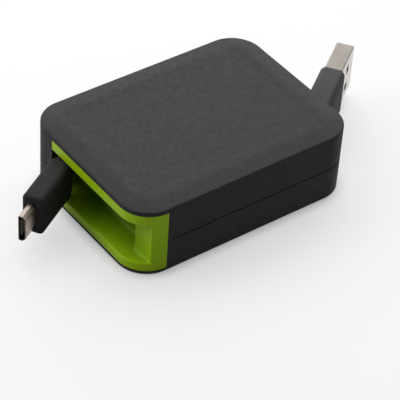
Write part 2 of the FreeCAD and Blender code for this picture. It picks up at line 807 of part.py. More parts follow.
def make_micro_tongue():
    """Insulator that carries the contacts, seated on the shell's back wall and on its flat side."""
    body = new_body("micro_tongue")
    back = size("micro_reach") - size("shell_embed") + size("joint_gap") + size("micro_shell_wall")
    tip = micro_length - size("tip_setback")
    inside = size("micro_shell_thickness") / 2 - size("micro_shell_wall")
    half = size("micro_tongue_width") / 2
    foot = sharp_box(-inside, -half, inside, half)
    pad(body, "micro_tongue_foot", foot, back, size("micro_reach"), "YZ_Plane")
    blade = sharp_box(-inside, -half, -inside + size("micro_tongue_thickness"), half)
    pad(body, "micro_tongue_blade", blade, size("micro_reach"), tip, "YZ_Plane")
    return body


def join(label, pieces):
    """One node from several separate solids."""
    group = doc.addObject("Part::MultiFuse", label)
    group.Label = label
    group.Shapes = pieces
    doc.recompute()
    return group


def make_contacts(label, lines, pitch, width, across, start, finish):
    """Row of flat contact strips lying on a tongue, one for each line, at a level across the plug."""
    strips = []
    for number, line in enumerate(lines):
        strip = doc.addObject("Part::Box", f"{label}_{line}")
        bind(strip, "Length", finish - start)
        bind(strip, "Width", size("contact_thickness"))
        bind(strip, "Height", width)
        middle = pitch * (number - (len(lines) - 1) / 2)
        place(strip, start, across, middle - width / 2)
        strips.append(strip)
    return join(label, strips)


def make_micro_latches():
    """Two spring hooks that stand in the windows of the shell's -Y side, steep towards the case."""
    hooks = []
    side = size("micro_shell_thickness") / 2
    half = size("latch_width") / 2
    low, high = latch_plan(0)
    for number, z in enumerate(latch_heights()):
        hook = doc.addObject("Part::Wedge", f"latch_hook_{number}")
        bind(hook, "Ymin", -(side + size("latch_rise")))
        bind(hook, "Ymax", -(side - size("micro_shell_wall")))
        for prefix, far in (("X", (low + high) / 2), ("X2", high)):
            bind(hook, f"{prefix}min", low)
            bind(hook, f"{prefix}max", far)
        for prefix in ("Z", "Z2"):
            bind(hook, f"{prefix}min", z - half)
            bind(hook, f"{prefix}max", z + half)
        hooks.append(hook)
    return join("micro_latches", hooks)


def make_usb_a_shell():
    body = new_body("usb_a_shell")
    front = size("usb_a_reach")
    tip = usb_a_length
    wall = size("usb_a_shell_wall")
    back = front - size("shell_embed") + size("joint_gap")
    thick = size("usb_a_shell_thickness") / 2
    height = size("usb_a_shell_width") / 2
    rounding = size("usb_a_shell_round")
    pad(body, "usb_a_shell_block", rounded_box(thick, height, rounding), back, tip, "YZ_Plane")
    inside = rounded_box(thick - wall, height - wall, rounding - wall)
    cut(body, "usb_a_shell_inside", inside, back + wall, tip + OVERCUT, "YZ_Plane")
    windows = new_sketch(body, "windows_sketch", "XZ_Plane", -(thick + OVERCUT))
    half = size("window_size") / 2
    middle = tip - size("window_setback")
    for z in (-size("window_offset"), size("window_offset")):
        draw_outline(windows, sharp_box(middle - half, z - half, middle + half, z + half))
    extrude(body, "Pocket", "windows", windows, (thick + OVERCUT) * 2)
    return body


def make_usb_a_tongue():
    """Insulator block that fills one side of the shell and its back."""
    body = new_body("usb_a_tongue")
    wall = size("usb_a_shell_wall")
    back = size("usb_a_reach") - size("shell_embed") + size("joint_gap") + wall
    inside = size("usb_a_shell_thickness") / 2 - wall
    half = size("usb_a_shell_width") / 2 - wall - size("usb_a_shell_round")
    foot = sharp_box(-inside, -half, inside, half)
    pad(body, "usb_a_tongue_foot", foot, back, size("usb_a_reach"), "YZ_Plane")
    blade = sharp_box(-inside, -half, -inside + size("usb_a_tongue_thickness"), half)
    tip = usb_a_length - size("tip_setback")
    pad(body, "usb_a_tongue_blade", blade, size("usb_a_reach"), tip, "YZ_Plane")
    return body


def make_ends():
    """The plugs, necks, leads and pockets of both ends, each plug at its pivot and rest angle."""
    nodes = []
    ends = (("micro", 1, 180, MICRO_LINES), ("usb_a", -1, 0, USB_A_LINES))
    for kind, facing, heading, lines in ends:
        thick = size(f"{kind}_grip_thickness")
        pivot_x = half_length - size(f"{kind}_sink") - thick / 2
        length = micro_length if kind == "micro" else usb_a_length
        mouth = grip_heights[kind] + size("mouth_gap") * 2
        pocket = make_pocket(f"{kind}_pocket", length, size(f"{kind}_tip_room"), mouth)
        if facing < 0:
            place(pocket, turn=180)
        lead = make_lead(f"{kind}_lead", pivot_x, facing)
        neck = make_neck(f"{kind}_neck")
        gap = size("joint_gap")
        if kind == "micro":
            socket = bevelled(-gap)
            shell = make_micro_shell()
            tongue = make_micro_tongue()
            inside = size("micro_shell_thickness") / 2 - size("micro_shell_wall")
            across = -inside + size("micro_tongue_thickness")
            latches = [make_micro_latches()]
        else:
            half = size("usb_a_shell_thickness") / 2 + gap
            socket = rounded_box(half, size("usb_a_shell_width") / 2 + gap, size("usb_a_shell_round") + gap)
            shell = make_usb_a_shell()
            tongue = make_usb_a_tongue()
            inside = size("usb_a_shell_thickness") / 2 - size("usb_a_shell_wall")
            across = -inside + size("usb_a_tongue_thickness")
            latches = []
        grip = make_grip(f"{kind}_overmould", kind, socket)
        reach = size(f"{kind}_reach")
        contacts = make_contacts(f"{kind}_contacts", lines, size(f"{kind}_contact_pitch"),
                                 size(f"{kind}_contact_width"), across, reach,
                                 length - size("tip_setback") * 2)
        plug = [neck, grip, shell, tongue, contacts] + latches
        for piece in plug:
            place(piece, -pivot_x * facing, pivot_y * facing, cable_mid, size(f"{kind}_angle") + heading)
        nodes += [pocket, lead] + plug
    return nodes


def check(item):
    """Stops the build at a failed object or a bad solid."""
    if "Invalid" in item.State or "Error" in item.State:
        raise ValueError(f"{item.Label} failed: {item.State}")


nodes = [make_bottom_cover(), make_top_cover(), make_spool(), make_spool_flange(), make_ratchet_ball(),
         make_mainspring(), make_wound_cable()] + make_ends()
doc.recompute()

for item in doc.Objects:
    check(item)
for node in nodes:
    if node.Shape.isNull() or not node.Shape.isValid():
        raise ValueError(f"{node.Label} has no valid shape")

os.makedirs("parts", exist_ok=True)
for node in nodes:
    node.Shape.exportStep(f"parts/{node.Label}.step")
    print(node.Label, f"volume {node.Shape.Volume:.2f}", f"solids {len(node.Shape.Solids)}")
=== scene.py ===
# %% [markdown]
# # A retractable cable, dressed from its solids
#
# This small case holds a flat cable on a sprung reel, with a plug in a green pocket at each end. Its
# solids are already built and come in as a fixed frame: every piece has its place and its body, and
# nothing here moves them. The lesson gives each piece the surface and the finish of the real one.
# Blender's unit is the metre. The shapes are worked out in millimetres, as a maker would say them, and
# `MM` turns them into metres when they become a mesh.

# %% Load the frame
import json
import math

import bmesh
import bpy
import numpy as np
from mathutils import Matrix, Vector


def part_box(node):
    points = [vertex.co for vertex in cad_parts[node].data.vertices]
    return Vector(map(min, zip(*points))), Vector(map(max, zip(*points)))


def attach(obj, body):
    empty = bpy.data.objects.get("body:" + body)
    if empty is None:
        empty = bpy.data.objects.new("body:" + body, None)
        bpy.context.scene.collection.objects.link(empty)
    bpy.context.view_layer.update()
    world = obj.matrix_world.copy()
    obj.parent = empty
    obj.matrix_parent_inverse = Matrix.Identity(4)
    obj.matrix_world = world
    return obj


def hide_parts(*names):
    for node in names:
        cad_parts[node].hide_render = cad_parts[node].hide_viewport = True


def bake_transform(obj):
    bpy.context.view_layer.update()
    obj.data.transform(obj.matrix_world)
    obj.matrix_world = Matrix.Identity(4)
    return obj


MM = 0.001
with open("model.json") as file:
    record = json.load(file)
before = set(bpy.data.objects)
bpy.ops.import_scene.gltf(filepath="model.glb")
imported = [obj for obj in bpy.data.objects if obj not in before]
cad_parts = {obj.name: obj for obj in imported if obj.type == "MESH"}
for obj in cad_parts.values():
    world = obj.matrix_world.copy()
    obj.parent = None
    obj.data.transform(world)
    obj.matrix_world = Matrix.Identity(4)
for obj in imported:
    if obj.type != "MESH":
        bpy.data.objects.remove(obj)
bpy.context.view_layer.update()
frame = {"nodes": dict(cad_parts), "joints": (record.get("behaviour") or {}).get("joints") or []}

# %% [markdown]
# ## The camera
#
# The photograph looks down on a corner of the case through a long lens. A camera could be aimed with a
# Track To constraint, but here its three axes are worked out from an azimuth, an elevation and a small
# roll, because the photograph was measured that way. `back` points from the object to the camera, as
# Blender's own camera axis does.

# %% Axes of the view
VIEW_AZIMUTH = math.radians(-38.814)
VIEW_ELEVATION = math.radians(40.644)
VIEW_ROLL = math.radians(4.089)


def view_axes(azimuth, elevation, roll):
    """Right, up and back.

    Back comes from the two angles, right is level and square to it, and right and up are rolled about it.
    """
    back = np.array([
        math.sin(azimuth) * math.cos(elevation),
        -math.cos(azimuth) * math.cos(elevation),
        math.sin(elevation),
    ])
    level = np.array([math.cos(azimuth), math.sin(azimuth), 0.0])
    raised = np.cross(back, level)
    right = level * math.cos(roll) + raised * math.sin(roll)
    return right, np.cross(back, right), back


photo_axes = view_axes(VIEW_AZIMUTH, VIEW_ELEVATION, VIEW_ROLL)
print("from the case to the camera:", np.round(photo_axes[2], 3))

# %% Camera at the photograph's viewing angle
CAMERA_PLACE = np.array([-209.13, -264.50, 283.67]) * MM
LENS = 171.49
SENSOR = 36.0


def stand(item, right, up, back, place):
    """Turns and moves a camera or lamp: the columns of its matrix are its three axes and its place."""
    matrix = np.eye(4)
    matrix[:3, :3] = np.column_stack([right, up, back])
    matrix[:3, 3] = place
    item.matrix_world = Matrix(matrix.tolist())


def aim_camera():
    """A long lens, stood where the photograph was taken from."""
    data = bpy.data.cameras.new("photo_camera")
    data.lens = LENS
    data.sensor_width = SENSOR
    camera = bpy.data.objects.new("photo_camera", data)
    bpy.context.scene.collection.objects.link(camera)
    stand(camera, *photo_axes, CAMERA_PLACE)
    bpy.context.scene.camera = camera


aim_camera()
print("camera is", round(float(np.linalg.norm(CAMERA_PLACE)), 3), "m from the case")

# %% [markdown]
# ## The studio
#
# The part lies on a white sweep under one large soft box that hangs behind it, so the light grazes the
# top and leaves the near walls dark. A bright world alone would be simpler, but it lights all sides
# alike, and a black case then loses its form. So the world is split with the Light Path node: rays that
# look at it see white, and the light that falls on the part is much weaker.

# %% World
WORLD_LIGHT = 0.16


def combine(tree, operation, first, second):
    """A Math node on two inputs, each of them a socket or a plain number."""
    node = tree.nodes.new("ShaderNodeMath")
    node.operation = operation
    for socket, value in zip(node.inputs, (first, second)):
        if isinstance(value, float):
            socket.default_value = value
        else:
            tree.links.new(value, socket)
    return node.outputs[0]


def seen_or_bounced(tree):
    """1 where a camera, glossy or transmitted ray looks, 0 where diffuse light bounces."""
    path = tree.nodes.new("ShaderNodeLightPath")
    looks = combine(tree, "MAXIMUM", path.outputs["Is Camera Ray"], path.outputs["Is Glossy Ray"])
    return combine(tree, "MAXIMUM", looks, path.outputs["Is Transmission Ray"])


def light_world():
    """White to the rays that look at it, and a low even light on the part."""
    world = bpy.data.worlds.new("studio")
    bpy.context.scene.world = world
    world.use_nodes = True
    tree = world.node_tree
    background = tree.nodes["Background"]
    background.inputs["Color"].default_value = (1, 1, 1, 1)
    strength = tree.nodes.new("ShaderNodeMapRange")
    strength.inputs["To Min"].default_value = WORLD_LIGHT
    strength.inputs["To Max"].default_value = 1.0
    tree.links.new(seen_or_bounced(tree), strength.inputs["Value"])
    tree.links.new(strength.outputs["Result"], background.inputs["Strength"])


light_world()
bpy.context.scene.view_settings.view_transform = "Standard"
print("world light on the part:", WORLD_LIGHT)

# %% [markdown]
# The floor is one large square. A plain white floor would throw much light back on a black case, so its
# paint is white to the rays that look at it and grey to the rays that bounce off it, and a share of
# glow lifts it to the white of a photographer's sweep. Glow takes no shadow, so an Ambient Occlusion
# node lowers that share within a few millimetres of the part, which leaves a contact shadow under its
# edges.

# %% Paint of the floor
FLOOR_BOUNCE = 0.32
FLOOR_SEEN = 0.97
FLOOR_GLOW = 0.60
CONTACT_REACH = 0.003
CONTACT_DEPTH = 0.9


def floor_paint():
    """Matt paint mixed with glow. The glow's share is seen x glow x (open sky near the point) ^ depth."""
    material = bpy.data.materials.new("pale_floor")
    material.use_nodes = True
    tree = material.node_tree
    seen = seen_or_bounced(tree)
    paint = tree.nodes.new("ShaderNodeMix")
    paint.data_type = "RGBA"
    paint.inputs["A"].default_value = (FLOOR_BOUNCE, FLOOR_BOUNCE, FLOOR_BOUNCE, 1)
    paint.inputs["B"].default_value = (FLOOR_SEEN, FLOOR_SEEN, FLOOR_SEEN, 1)
    tree.links.new(seen, paint.inputs["Factor"])
    matt = tree.nodes["Principled BSDF"]
    matt.inputs["Roughness"].default_value = 1.0
    matt.inputs["Specular IOR Level"].default_value = 0.0
    tree.links.new(paint.outputs["Result"], matt.inputs["Base Color"])
    nearby = tree.nodes.new("ShaderNodeAmbientOcclusion")
    nearby.inputs["Distance"].default_value = CONTACT_REACH
    contact = combine(tree, "POWER", nearby.outputs["AO"], CONTACT_DEPTH)
    share = combine(tree, "MULTIPLY", combine(tree, "MULTIPLY", seen, FLOOR_GLOW), contact)
    glow = tree.nodes.new("ShaderNodeEmission")
    both = tree.nodes.new("ShaderNodeMixShader")
    tree.links.new(share, both.inputs["Fac"])
    tree.links.new(matt.outputs["BSDF"], both.inputs[1])
    tree.links.new(glow.outputs["Emission"], both.inputs[2])
    tree.links.new(both.outputs["Shader"], tree.nodes["Material Output"].inputs["Surface"])
    return material


pale_floor = floor_paint()
print("floor: paint", FLOOR_SEEN, "seen,", FLOOR_BOUNCE, "bounced, with a glow of", FLOOR_GLOW)

# %% Floor
FLOOR_HALF = 3.0


def lay_floor():
    """One square face at height nought."""
    mesh = bpy.data.meshes.new("floor")
    corners = np.array([[-1, -1, 0], [1, -1, 0], [1, 1, 0], [-1, 1, 0]]) * FLOOR_HALF
    mesh.from_pydata(corners.tolist(), [], [[0, 1, 2, 3]])
    mesh.materials.append(pale_floor)
    floor = bpy.data.objects.new("floor", mesh)
    bpy.context.scene.collection.objects.link(floor)


lay_floor()
print("floor is", 2 * FLOOR_HALF, "m wide")

# %% [markdown]
# Two square area lamps make the light. Sun lamps would be simpler, but their hard shadows don't suit a
# soft studio. The large soft box hangs behind the part, and a smaller one at the left lifts the end
# wall there. Each lamp faces the origin, so its axes come from its place alone.

# %% Lamps
KEY_PLACE = np.array([0.26, 0.36, 0.40])
KEY_SIZE = 0.9
KEY_POWER = 5.8
FILL_PLACE = np.array([-0.42, 0.34, 0.34])
FILL_SIZE = 0.4
FILL_POWER = 1.35


def hang_lamp(name, place, size, power):
    """A square lamp whose back axis points from the origin to its place, with its right axis level."""
    data = bpy.data.lights.new(name, "AREA")
    data.size = size
    data.energy = power
    lamp = bpy.data.objects.new(name, data)
    bpy.context.scene.collection.objects.link(lamp)
    back = place / np.linalg.norm(place)
    right = np.cross([0.0, 0.0, 1.0], back)
    right = right / np.linalg.norm(right)
    stand(lamp, right, np.cross(back, right), back, place)
    print(name, "is", size, "m wide,", round(float(np.linalg.norm(place)), 2), "m away")


hang_lamp("soft_box", KEY_PLACE, KEY_SIZE, KEY_POWER)
hang_lamp("left_fill", FILL_PLACE, FILL_SIZE, FILL_POWER)

# %% [markdown]
# ## Finishes
#
# Every finish is one Principled shader with a noise or two behind it. Painted pictures could do this
# too, but they need files and UV maps. The noise reads Object coordinates, which are metres in the
# part's own frame, so a scale of 3000 gives grains of a third of a millimetre wherever the piece lies.
# `mottle` mixes two near colours, `wear` moves the roughness, and `grain` feeds a Bump node.

# %% Shader and noise


def new_finish(name, specular, metallic=0.0):
    """A material with its Principled shader's steady values set. Colour and roughness come from noise."""
    material = bpy.data.materials.new(name)
    material.use_nodes = True
    shader = material.node_tree.nodes["Principled BSDF"]
    shader.inputs["Specular IOR Level"].default_value = specular
    shader.inputs["Metallic"].default_value = metallic
    return material


def noise(material, scale, detail=3.0, stretch=(1, 1, 1), turn=0.0):
    """Noise on Object coordinates, stretched along the axes and turned about Z by a Mapping node."""
    nodes, links = material.node_tree.nodes, material.node_tree.links
    place = nodes.new("ShaderNodeTexCoord")
    mapping = nodes.new("ShaderNodeMapping")
    mapping.vector_type = "TEXTURE"
    mapping.inputs["Rotation"].default_value = (0, 0, turn)
    mapping.inputs["Scale"].default_value = stretch
    texture = nodes.new("ShaderNodeTexNoise")
    texture.inputs["Scale"].default_value = scale
    texture.inputs["Detail"].default_value = detail
    links.new(place.outputs["Object"], mapping.inputs["Vector"])
    links.new(mapping.outputs["Vector"], texture.inputs["Vector"])
    return texture.outputs["Fac"]


SAMPLE_SCALE = 3000
print("a noise of scale", SAMPLE_SCALE, "has grains of", round(1 / (SAMPLE_SCALE * MM), 2), "mm")

# %% Colour, roughness and bump
COLOUR_RANGE = (0.25, 0.75)
WEAR_RANGE = (0.3, 0.7)


def mottle(material, dark, light, pattern):
    """Base colour between two near colours, by the middle of a noise's range."""
    nodes, links = material.node_tree.nodes, material.node_tree.links
    ramp = nodes.new("ShaderNodeValToRGB")
    for stop, place, colour in zip(ramp.color_ramp.elements, COLOUR_RANGE, (dark, light)):
        stop.position = place
        stop.color = (*colour, 1)
    links.new(pattern, ramp.inputs["Fac"])
    links.new(ramp.outputs["Color"], nodes["Principled BSDF"].inputs["Base Color"])


def wear(material, low, high, pattern):
    """Roughness between two values, by the middle of a noise's range."""
    nodes, links = material.node_tree.nodes, material.node_tree.links
    spread = nodes.new("ShaderNodeMapRange")
    spread.inputs["From Min"].default_value = WEAR_RANGE[0]
    spread.inputs["From Max"].default_value = WEAR_RANGE[1]
    spread.inputs["To Min"].default_value = low
    spread.inputs["To Max"].default_value = high
    links.new(pattern, spread.inputs["Value"])
    links.new(spread.outputs["Result"], nodes["Principled BSDF"].inputs["Roughness"])


def grain(material, strength, depth, pattern):
    """Bump of a given depth in millimetres."""
    nodes, links = material.node_tree.nodes, material.node_tree.links
    bump = nodes.new("ShaderNodeBump")
    bump.inputs["Strength"].default_value = strength
    bump.inputs["Distance"].default_value = depth * MM
    links.new(pattern, bump.inputs["Height"])
    links.new(bump.outputs["Normal"], nodes["Principled BSDF"].inputs["Normal"])


print("noise read for colour:", COLOUR_RANGE, "and for roughness:", WEAR_RANGE)

# %% [markdown]
# The case is moulded with a spark-eroded matt skin, so it has a fine grain and hardly any gloss. One
# flat black with a high roughness would look like paper, so two near blacks are mottled over it and a
# fine bump breaks up the light.

# %% Case plastic
FINISH = {}


def keep_finish(key, material):
    """Puts a finish in the table under the name that the pieces ask for."""
    FINISH[key] = material
    print(key, "has", len(material.node_tree.nodes), "nodes")


def case_plastic():
    """Matt black with a moulded grain."""
    material = new_finish("case_plastic", specular=0.11)
    mottle(material, dark=(0.0325, 0.0325, 0.0328), light=(0.0385, 0.0385, 0.0388),
           pattern=noise(material, scale=850.0, detail=5.0))
    wear(material, low=0.56, high=0.70, pattern=noise(material, scale=900.0))
    grain(material, strength=0.25, depth=0.03, pattern=noise(material, scale=5200.0, detail=2.0))
    return material


keep_finish("case_black", case_plastic())

# %% [markdown]
# The green pockets come out of a polished mould and shine a little. Their depth carries painted shade.
# That could be left to the lamps alone, but a deep narrow recess then looks too bright, so the mesh
# carries an attribute that says how sunk each point is, and the colour is multiplied by a dark tint
# there. The shade is painted deepest near the plug's root, where the plug's shadow falls.

# %% Green plastic


def shade(material, attribute, deep):
    """Painted shade: multiplies the base colour by a deep tint where a mesh attribute comes near 1."""
    nodes, links = material.node_tree.nodes, material.node_tree.links
    colour = nodes["Principled BSDF"].inputs["Base Color"]
    depth = nodes.new("ShaderNodeAttribute")
    depth.attribute_name = attribute
    tint = nodes.new("ShaderNodeMix")
    tint.data_type = "RGBA"
    tint.blend_type = "MULTIPLY"
    tint.inputs["B"].default_value = (*deep, 1)
    links.new(depth.outputs["Fac"], tint.inputs["Factor"])
    links.new(colour.links[0].from_socket, tint.inputs["A"])
    links.new(tint.outputs["Result"], colour)


def pocket_plastic():
    """Satin green, with painted shade where it is sunk."""
    material = new_finish("pocket_plastic", specular=0.2)
    mottle(material, dark=(0.455, 0.745, 0.006), light=(0.483, 0.775, 0.009),
           pattern=noise(material, scale=260.0, detail=4.0))
    shade(material, "recess_shade", deep=(0.11, 0.16, 0.12))
    wear(material, low=0.40, high=0.52, pattern=noise(material, scale=700.0))
    grain(material, strength=0.12, depth=0.02, pattern=noise(material, scale=2600.0, detail=2.0))
    return material


keep_finish("pocket_green", pocket_plastic())

# %% [markdown]
# The plugs' grips and the jacket of the cable are matt rubber. One rubber would do for all, but in the
# photograph the two grips catch the light differently, so each has a black and a gloss of its own: the
# micro grip's black is darker, as painted shade, and the USB-A grip's is lighter, as painted light.

# %% Rubbers


def grip_rubber(name, dark, light, specular=0.05):
    """Matt rubber with a very fine grain."""
    material = new_finish(name, specular)
    mottle(material, dark, light, pattern=noise(material, scale=700.0, detail=5.0))
    wear(material, low=0.44, high=0.58, pattern=noise(material, scale=1200.0))
    grain(material, strength=0.3, depth=0.02, pattern=noise(material, scale=6500.0, detail=2.0))
    return material


def near_grey(level, blue):
    """A grey whose blue may differ a little."""
    return level, level, blue


# Two copies of one black rubber: the micro grip darker as painted shade, the USB-A grip lighter as
# painted light.
keep_finish("grip_micro", grip_rubber("grip_micro", near_grey(0.043, 0.0435), near_grey(0.052, 0.0525),
                                      specular=0.003))
keep_finish("grip_usb_a", grip_rubber("grip_usb_a", near_grey(0.084, 0.0844), near_grey(0.099, 0.0994),
                                      specular=0.012))
keep_finish("cable_black", grip_rubber("cable_jacket", near_grey(0.022, 0.022), near_grey(0.032, 0.032)))

# %% [markdown]
# The reel and the plugs' tongues are plain moulded plastic that is hardly ever seen, so they share one
# recipe in three colours: a weak mottle, a little gloss and a coarser grain than the case has.

# %% Inner plastics


def reel_plastic(name, dark, light):
    """Plain moulded plastic with some gloss."""
    material = new_finish(name, specular=0.4)
    mottle(material, dark, light, pattern=noise(material, scale=300.0, detail=3.0))
    wear(material, low=0.38, high=0.52, pattern=noise(material, scale=500.0))
    grain(material, strength=0.15, depth=0.02, pattern=noise(material, scale=2200.0, detail=2.0))
    return material


keep_finish("reel_grey", reel_plastic("reel_plastic", (0.30, 0.31, 0.32), (0.35, 0.36, 0.37)))
keep_finish("insulator_black", reel_plastic("tongue_black", near_grey(0.012, 0.012),
                                            near_grey(0.022, 0.022)))
keep_finish("insulator_white", reel_plastic("tongue_white", near_grey(0.70, 0.67), near_grey(0.80, 0.78)))

# %% [markdown]
# Rolled steel keeps fine lines along its length. An anisotropic shader could show them, but it needs
# tangents that loose solids lack. So a noise is stretched along the piece and moves both the roughness
# and a very shallow bump. A second, coarser noise gives the plating its stains.

# %% Rolled metals
ROLLED_STRETCH = (14, 1, 1)


def rolled_metal(name, dark, light, turn=0.0, low=0.24, high=0.42):
    """Metal with lines along the heading that turn gives."""
    material = new_finish(name, specular=0.5, metallic=1.0)
    lines = noise(material, scale=2400.0, stretch=ROLLED_STRETCH, turn=turn)
    mottle(material, dark, light, pattern=noise(material, scale=900.0, detail=6.0))
    wear(material, low, high, pattern=lines)
    grain(material, strength=0.12, depth=0.01, pattern=lines)
    return material


keep_finish("spring_steel", rolled_metal("spring_steel", (0.38, 0.39, 0.41), (0.48, 0.49, 0.51)))
keep_finish("ball_steel", rolled_metal("ball_steel", near_grey(0.62, 0.64), near_grey(0.70, 0.72),
                                       low=0.08, high=0.16))
keep_finish("contact_gold", rolled_metal("contact_gold", (0.72, 0.50, 0.20), (0.84, 0.62, 0.27),
                                         low=0.2, high=0.32))

# %% [markdown]
# The plugs' shells are the same steel, folded from sheet. Painted shade darkens their narrow top and
# bottom sides and makes the inside of the mouth nearly black, which two attributes of the mesh tell the
# shader. The lines follow each plug, so its heading is read from the frame: it is the direction in which
# that plug is pulled.

# %% Plated sheet
joints = {joint["name"]: joint for joint in frame["joints"]}


def heading(kind):
    """Angle between X and the plug's line, from nought to half a turn."""
    along = joints[f"{kind}_pull"]["axis"]
    return math.atan2(along[1], along[0]) % math.pi


def folded_sheet(kind, dark, light, narrow_side_tint):
    """Rolled metal with painted shade: a tint on the narrow top and bottom sides, and a dark one inside
    the mouth.
    """
    material = rolled_metal(f"shell_{kind}", dark, light, heading(kind))
    shade(material, "narrow_side_shade", narrow_side_tint)
    shade(material, "mouth", deep=(0.2, 0.19, 0.18))
    return material


# Painted shade darkens each shell's narrow top and bottom sides and the inside of its mouth.
keep_finish("shell_micro", folded_sheet("micro", (0.33, 0.272, 0.236), (0.45, 0.383, 0.342),
                                        narrow_side_tint=(0.55, 0.54, 0.54)))
keep_finish("shell_usb_a", folded_sheet("usb_a", (0.56, 0.53, 0.50), (0.66, 0.63, 0.60),
                                        narrow_side_tint=(0.21, 0.20, 0.19)))
print("headings:", [round(math.degrees(heading(kind)), 1) for kind in ("micro", "usb_a")], "degrees")

# %% [markdown]
# ## Tools for surfaces
#
# Most pieces of a moulded or folded product are one profile carried round a rounded outline. Blender's
# Bevel and Screw modifiers do that for simple outlines, but here the outline has corners, stops and
# openings. `rounded_columns` walks round a polygon whose corners are arcs, and keeps for each column a
# base point and an outward normal. A row at some inset is then base + (radius - inset) x normal for all
# columns at once, so every inset keeps its corners concentric.

# %% Columns round an outline
SQUARE = np.array([[1, -1], [1, 1], [-1, 1], [-1, -1]])


def rounded_columns(corners, radius, steps, stops):
    """Base points and outward normals round a convex polygon, anticlockwise.

    A corner's base is the centre of its arc: the corner moved in by radius x (sum of its two side
    normals) divided by 1 + their dot product. Its normal turns evenly from one side's to the next. A stop
    is a distance along a side, and its base lies one radius inside that side.
    """
    ahead = np.roll(corners, -1, axis=0) - corners
    ahead = ahead / np.linalg.norm(ahead, axis=1, keepdims=True)
    normal = np.column_stack([ahead[:, 1], -ahead[:, 0]])
    before = np.roll(normal, 1, axis=0)
    centre = corners - radius * (before + normal) / (1 + (before * normal).sum(axis=1, keepdims=True))
    first = np.arctan2(before[:, 1], before[:, 0])
    turn = np.mod(np.arctan2(normal[:, 1], normal[:, 0]) - first, 2 * math.pi)
    angle = first[:, None] + turn[:, None] * np.linspace(0, 1, steps)
    bases = []
    normals = []
    for side in range(len(corners)):
        bases.append(np.repeat(centre[side:side + 1], steps, axis=0))
        normals.append(np.column_stack([np.cos(angle[side]), np.sin(angle[side])]))
        spots = np.asarray(stops.get(side, ()), float)
        bases.append(corners[side] + ahead[side] * spots[:, None] - radius * normal[side])
        normals.append(np.repeat(normal[side:side + 1], len(spots), axis=0))
    return np.concatenate(bases), np.concatenate(normals)


def carry(columns, radius, inset, level):
    """Grid of points: base + (radius - inset) x normal in the plane, with the level as height."""
    base, normal = columns
    inset = np.asarray(inset, float)[:, None, None]
    flat = base + (radius - inset) * normal
    height = np.broadcast_to(np.asarray(level, float)[:, None], flat.shape[:2])
    return np.concatenate([flat, height[..., None]], axis=-1)


print("a square with arcs of 5 steps has", len(rounded_columns(SQUARE, 0.5, 5, {})[0]), "columns")

# %% Quads of a grid


def quads(rows, columns, wrap_rows=False, wrap_columns=True):
    """Corner numbers of the quads of a grid, as an array of rows x columns x 4."""
    index = np.arange(rows * columns).reshape(rows, columns)
    if wrap_rows:
        index = np.vstack([index, index[:1]])
    if wrap_columns:
        index = np.hstack([index, index[:, :1]])
    return np.stack([index[:-1, :-1], index[:-1, 1:], index[1:, 1:], index[1:, :-1]], axis=-1)


def closed_grid(points):
    """Points and faces of a tube of rows whose first and last rows are closed by flat caps."""
    rows, columns = points.shape[:2]
    faces = quads(rows, columns).reshape(-1, 4).tolist()
    caps = [list(range(columns)), list(range((rows - 1) * columns, rows * columns))]
    return points.reshape(-1, 3), faces + caps


print("a tube of 3 rows and 4 columns has", len(closed_grid(np.zeros((3, 4, 3)))[1]), "faces with caps")

# %% [markdown]
# A grid becomes a mesh with `from_pydata`. Rows that lie on each other make double points, so those are
# merged, and the faces are turned outwards: Recalculate Normals turns them all one way, and a negative
# volume shows that it was the wrong way. Smooth shading with sharp edges by angle keeps the true edges
# crisp.

# %% From grids to a piece
MERGE = 1e-6
SHARP_DEGREES = 32
SHARP = math.radians(SHARP_DEGREES)


def close_part(name, points, faces, marks):
    """One part as a mesh: equal points merged and faces turned outwards."""
    mesh = bpy.data.meshes.new(name)
    mesh.from_pydata((np.asarray(points) * MM).tolist(), [], faces)
    for mark, values in marks.items():
        mesh.attributes.new(mark, "FLOAT", "POINT").data.foreach_set("value", values)
    work = bmesh.new()
    work.from_mesh(mesh)
    bmesh.ops.remove_doubles(work, verts=work.verts, dist=MERGE)
    bmesh.ops.dissolve_degenerate(work, edges=work.edges, dist=MERGE)
    bmesh.ops.recalc_face_normals(work, faces=work.faces)
    if work.calc_volume(signed=True) < 0:
        bmesh.ops.reverse_faces(work, faces=work.faces)
    work.to_mesh(mesh)
    work.free()
    return mesh


def put_piece(name, parts, finish, marks=None):
    """Joins (points, faces) parts in millimetres into one smooth-shaded piece.

    A mark is one number per point, kept on the mesh as an attribute that a finish can read.
    """
    whole = bmesh.new()
    for points, faces in parts:
        part = close_part(name, points, faces, marks or {})
        whole.from_mesh(part)
        bpy.data.meshes.remove(part)
    mesh = bpy.data.meshes.new(name)
    whole.to_mesh(mesh)
    whole.free()
    mesh.shade_smooth()
    mesh.set_sharp_from_angle(angle=SHARP)
    mesh.materials.append(FINISH[finish])
    piece = bpy.data.objects.new(name, mesh)
    bpy.context.scene.collection.objects.link(piece)
    print(name, "has", len(mesh.polygons), "faces")
    return piece


print("points within", MERGE / MM, "mm merge, and edges over", SHARP_DEGREES, "degrees stay sharp")

# %% [markdown]
# ## The two covers
#
# The case is two moulded halves that meet at a seam. Each could be modelled as a box with Bevel and
# Boolean modifiers, but a Boolean leaves long thin faces that shade badly. Here one closed profile runs
# from the middle of the top, over the soft ridge, round the edge, down the wall, into the seam and back
# up inside, and it is carried round the case. Where a pocket comes through, the wall's rows are lifted
# to the thin lip above the pocket, so the opening and its end faces come out of the same grid.

# %% Columns round the case
case_high = np.array(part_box("bottom_cover")[1]) / MM
HALF_LENGTH = case_high[0]
HALF_WIDTH = case_high[1]
CORNER_RADIUS = 7.5
CORNER_STEPS = 17
MOUTH_START = 11.9
LINER_SIDE = 22.2
JOINT_GAP = 0.05
corner_x = HALF_LENGTH - CORNER_RADIUS
corner_y = HALF_WIDTH - CORNER_RADIUS


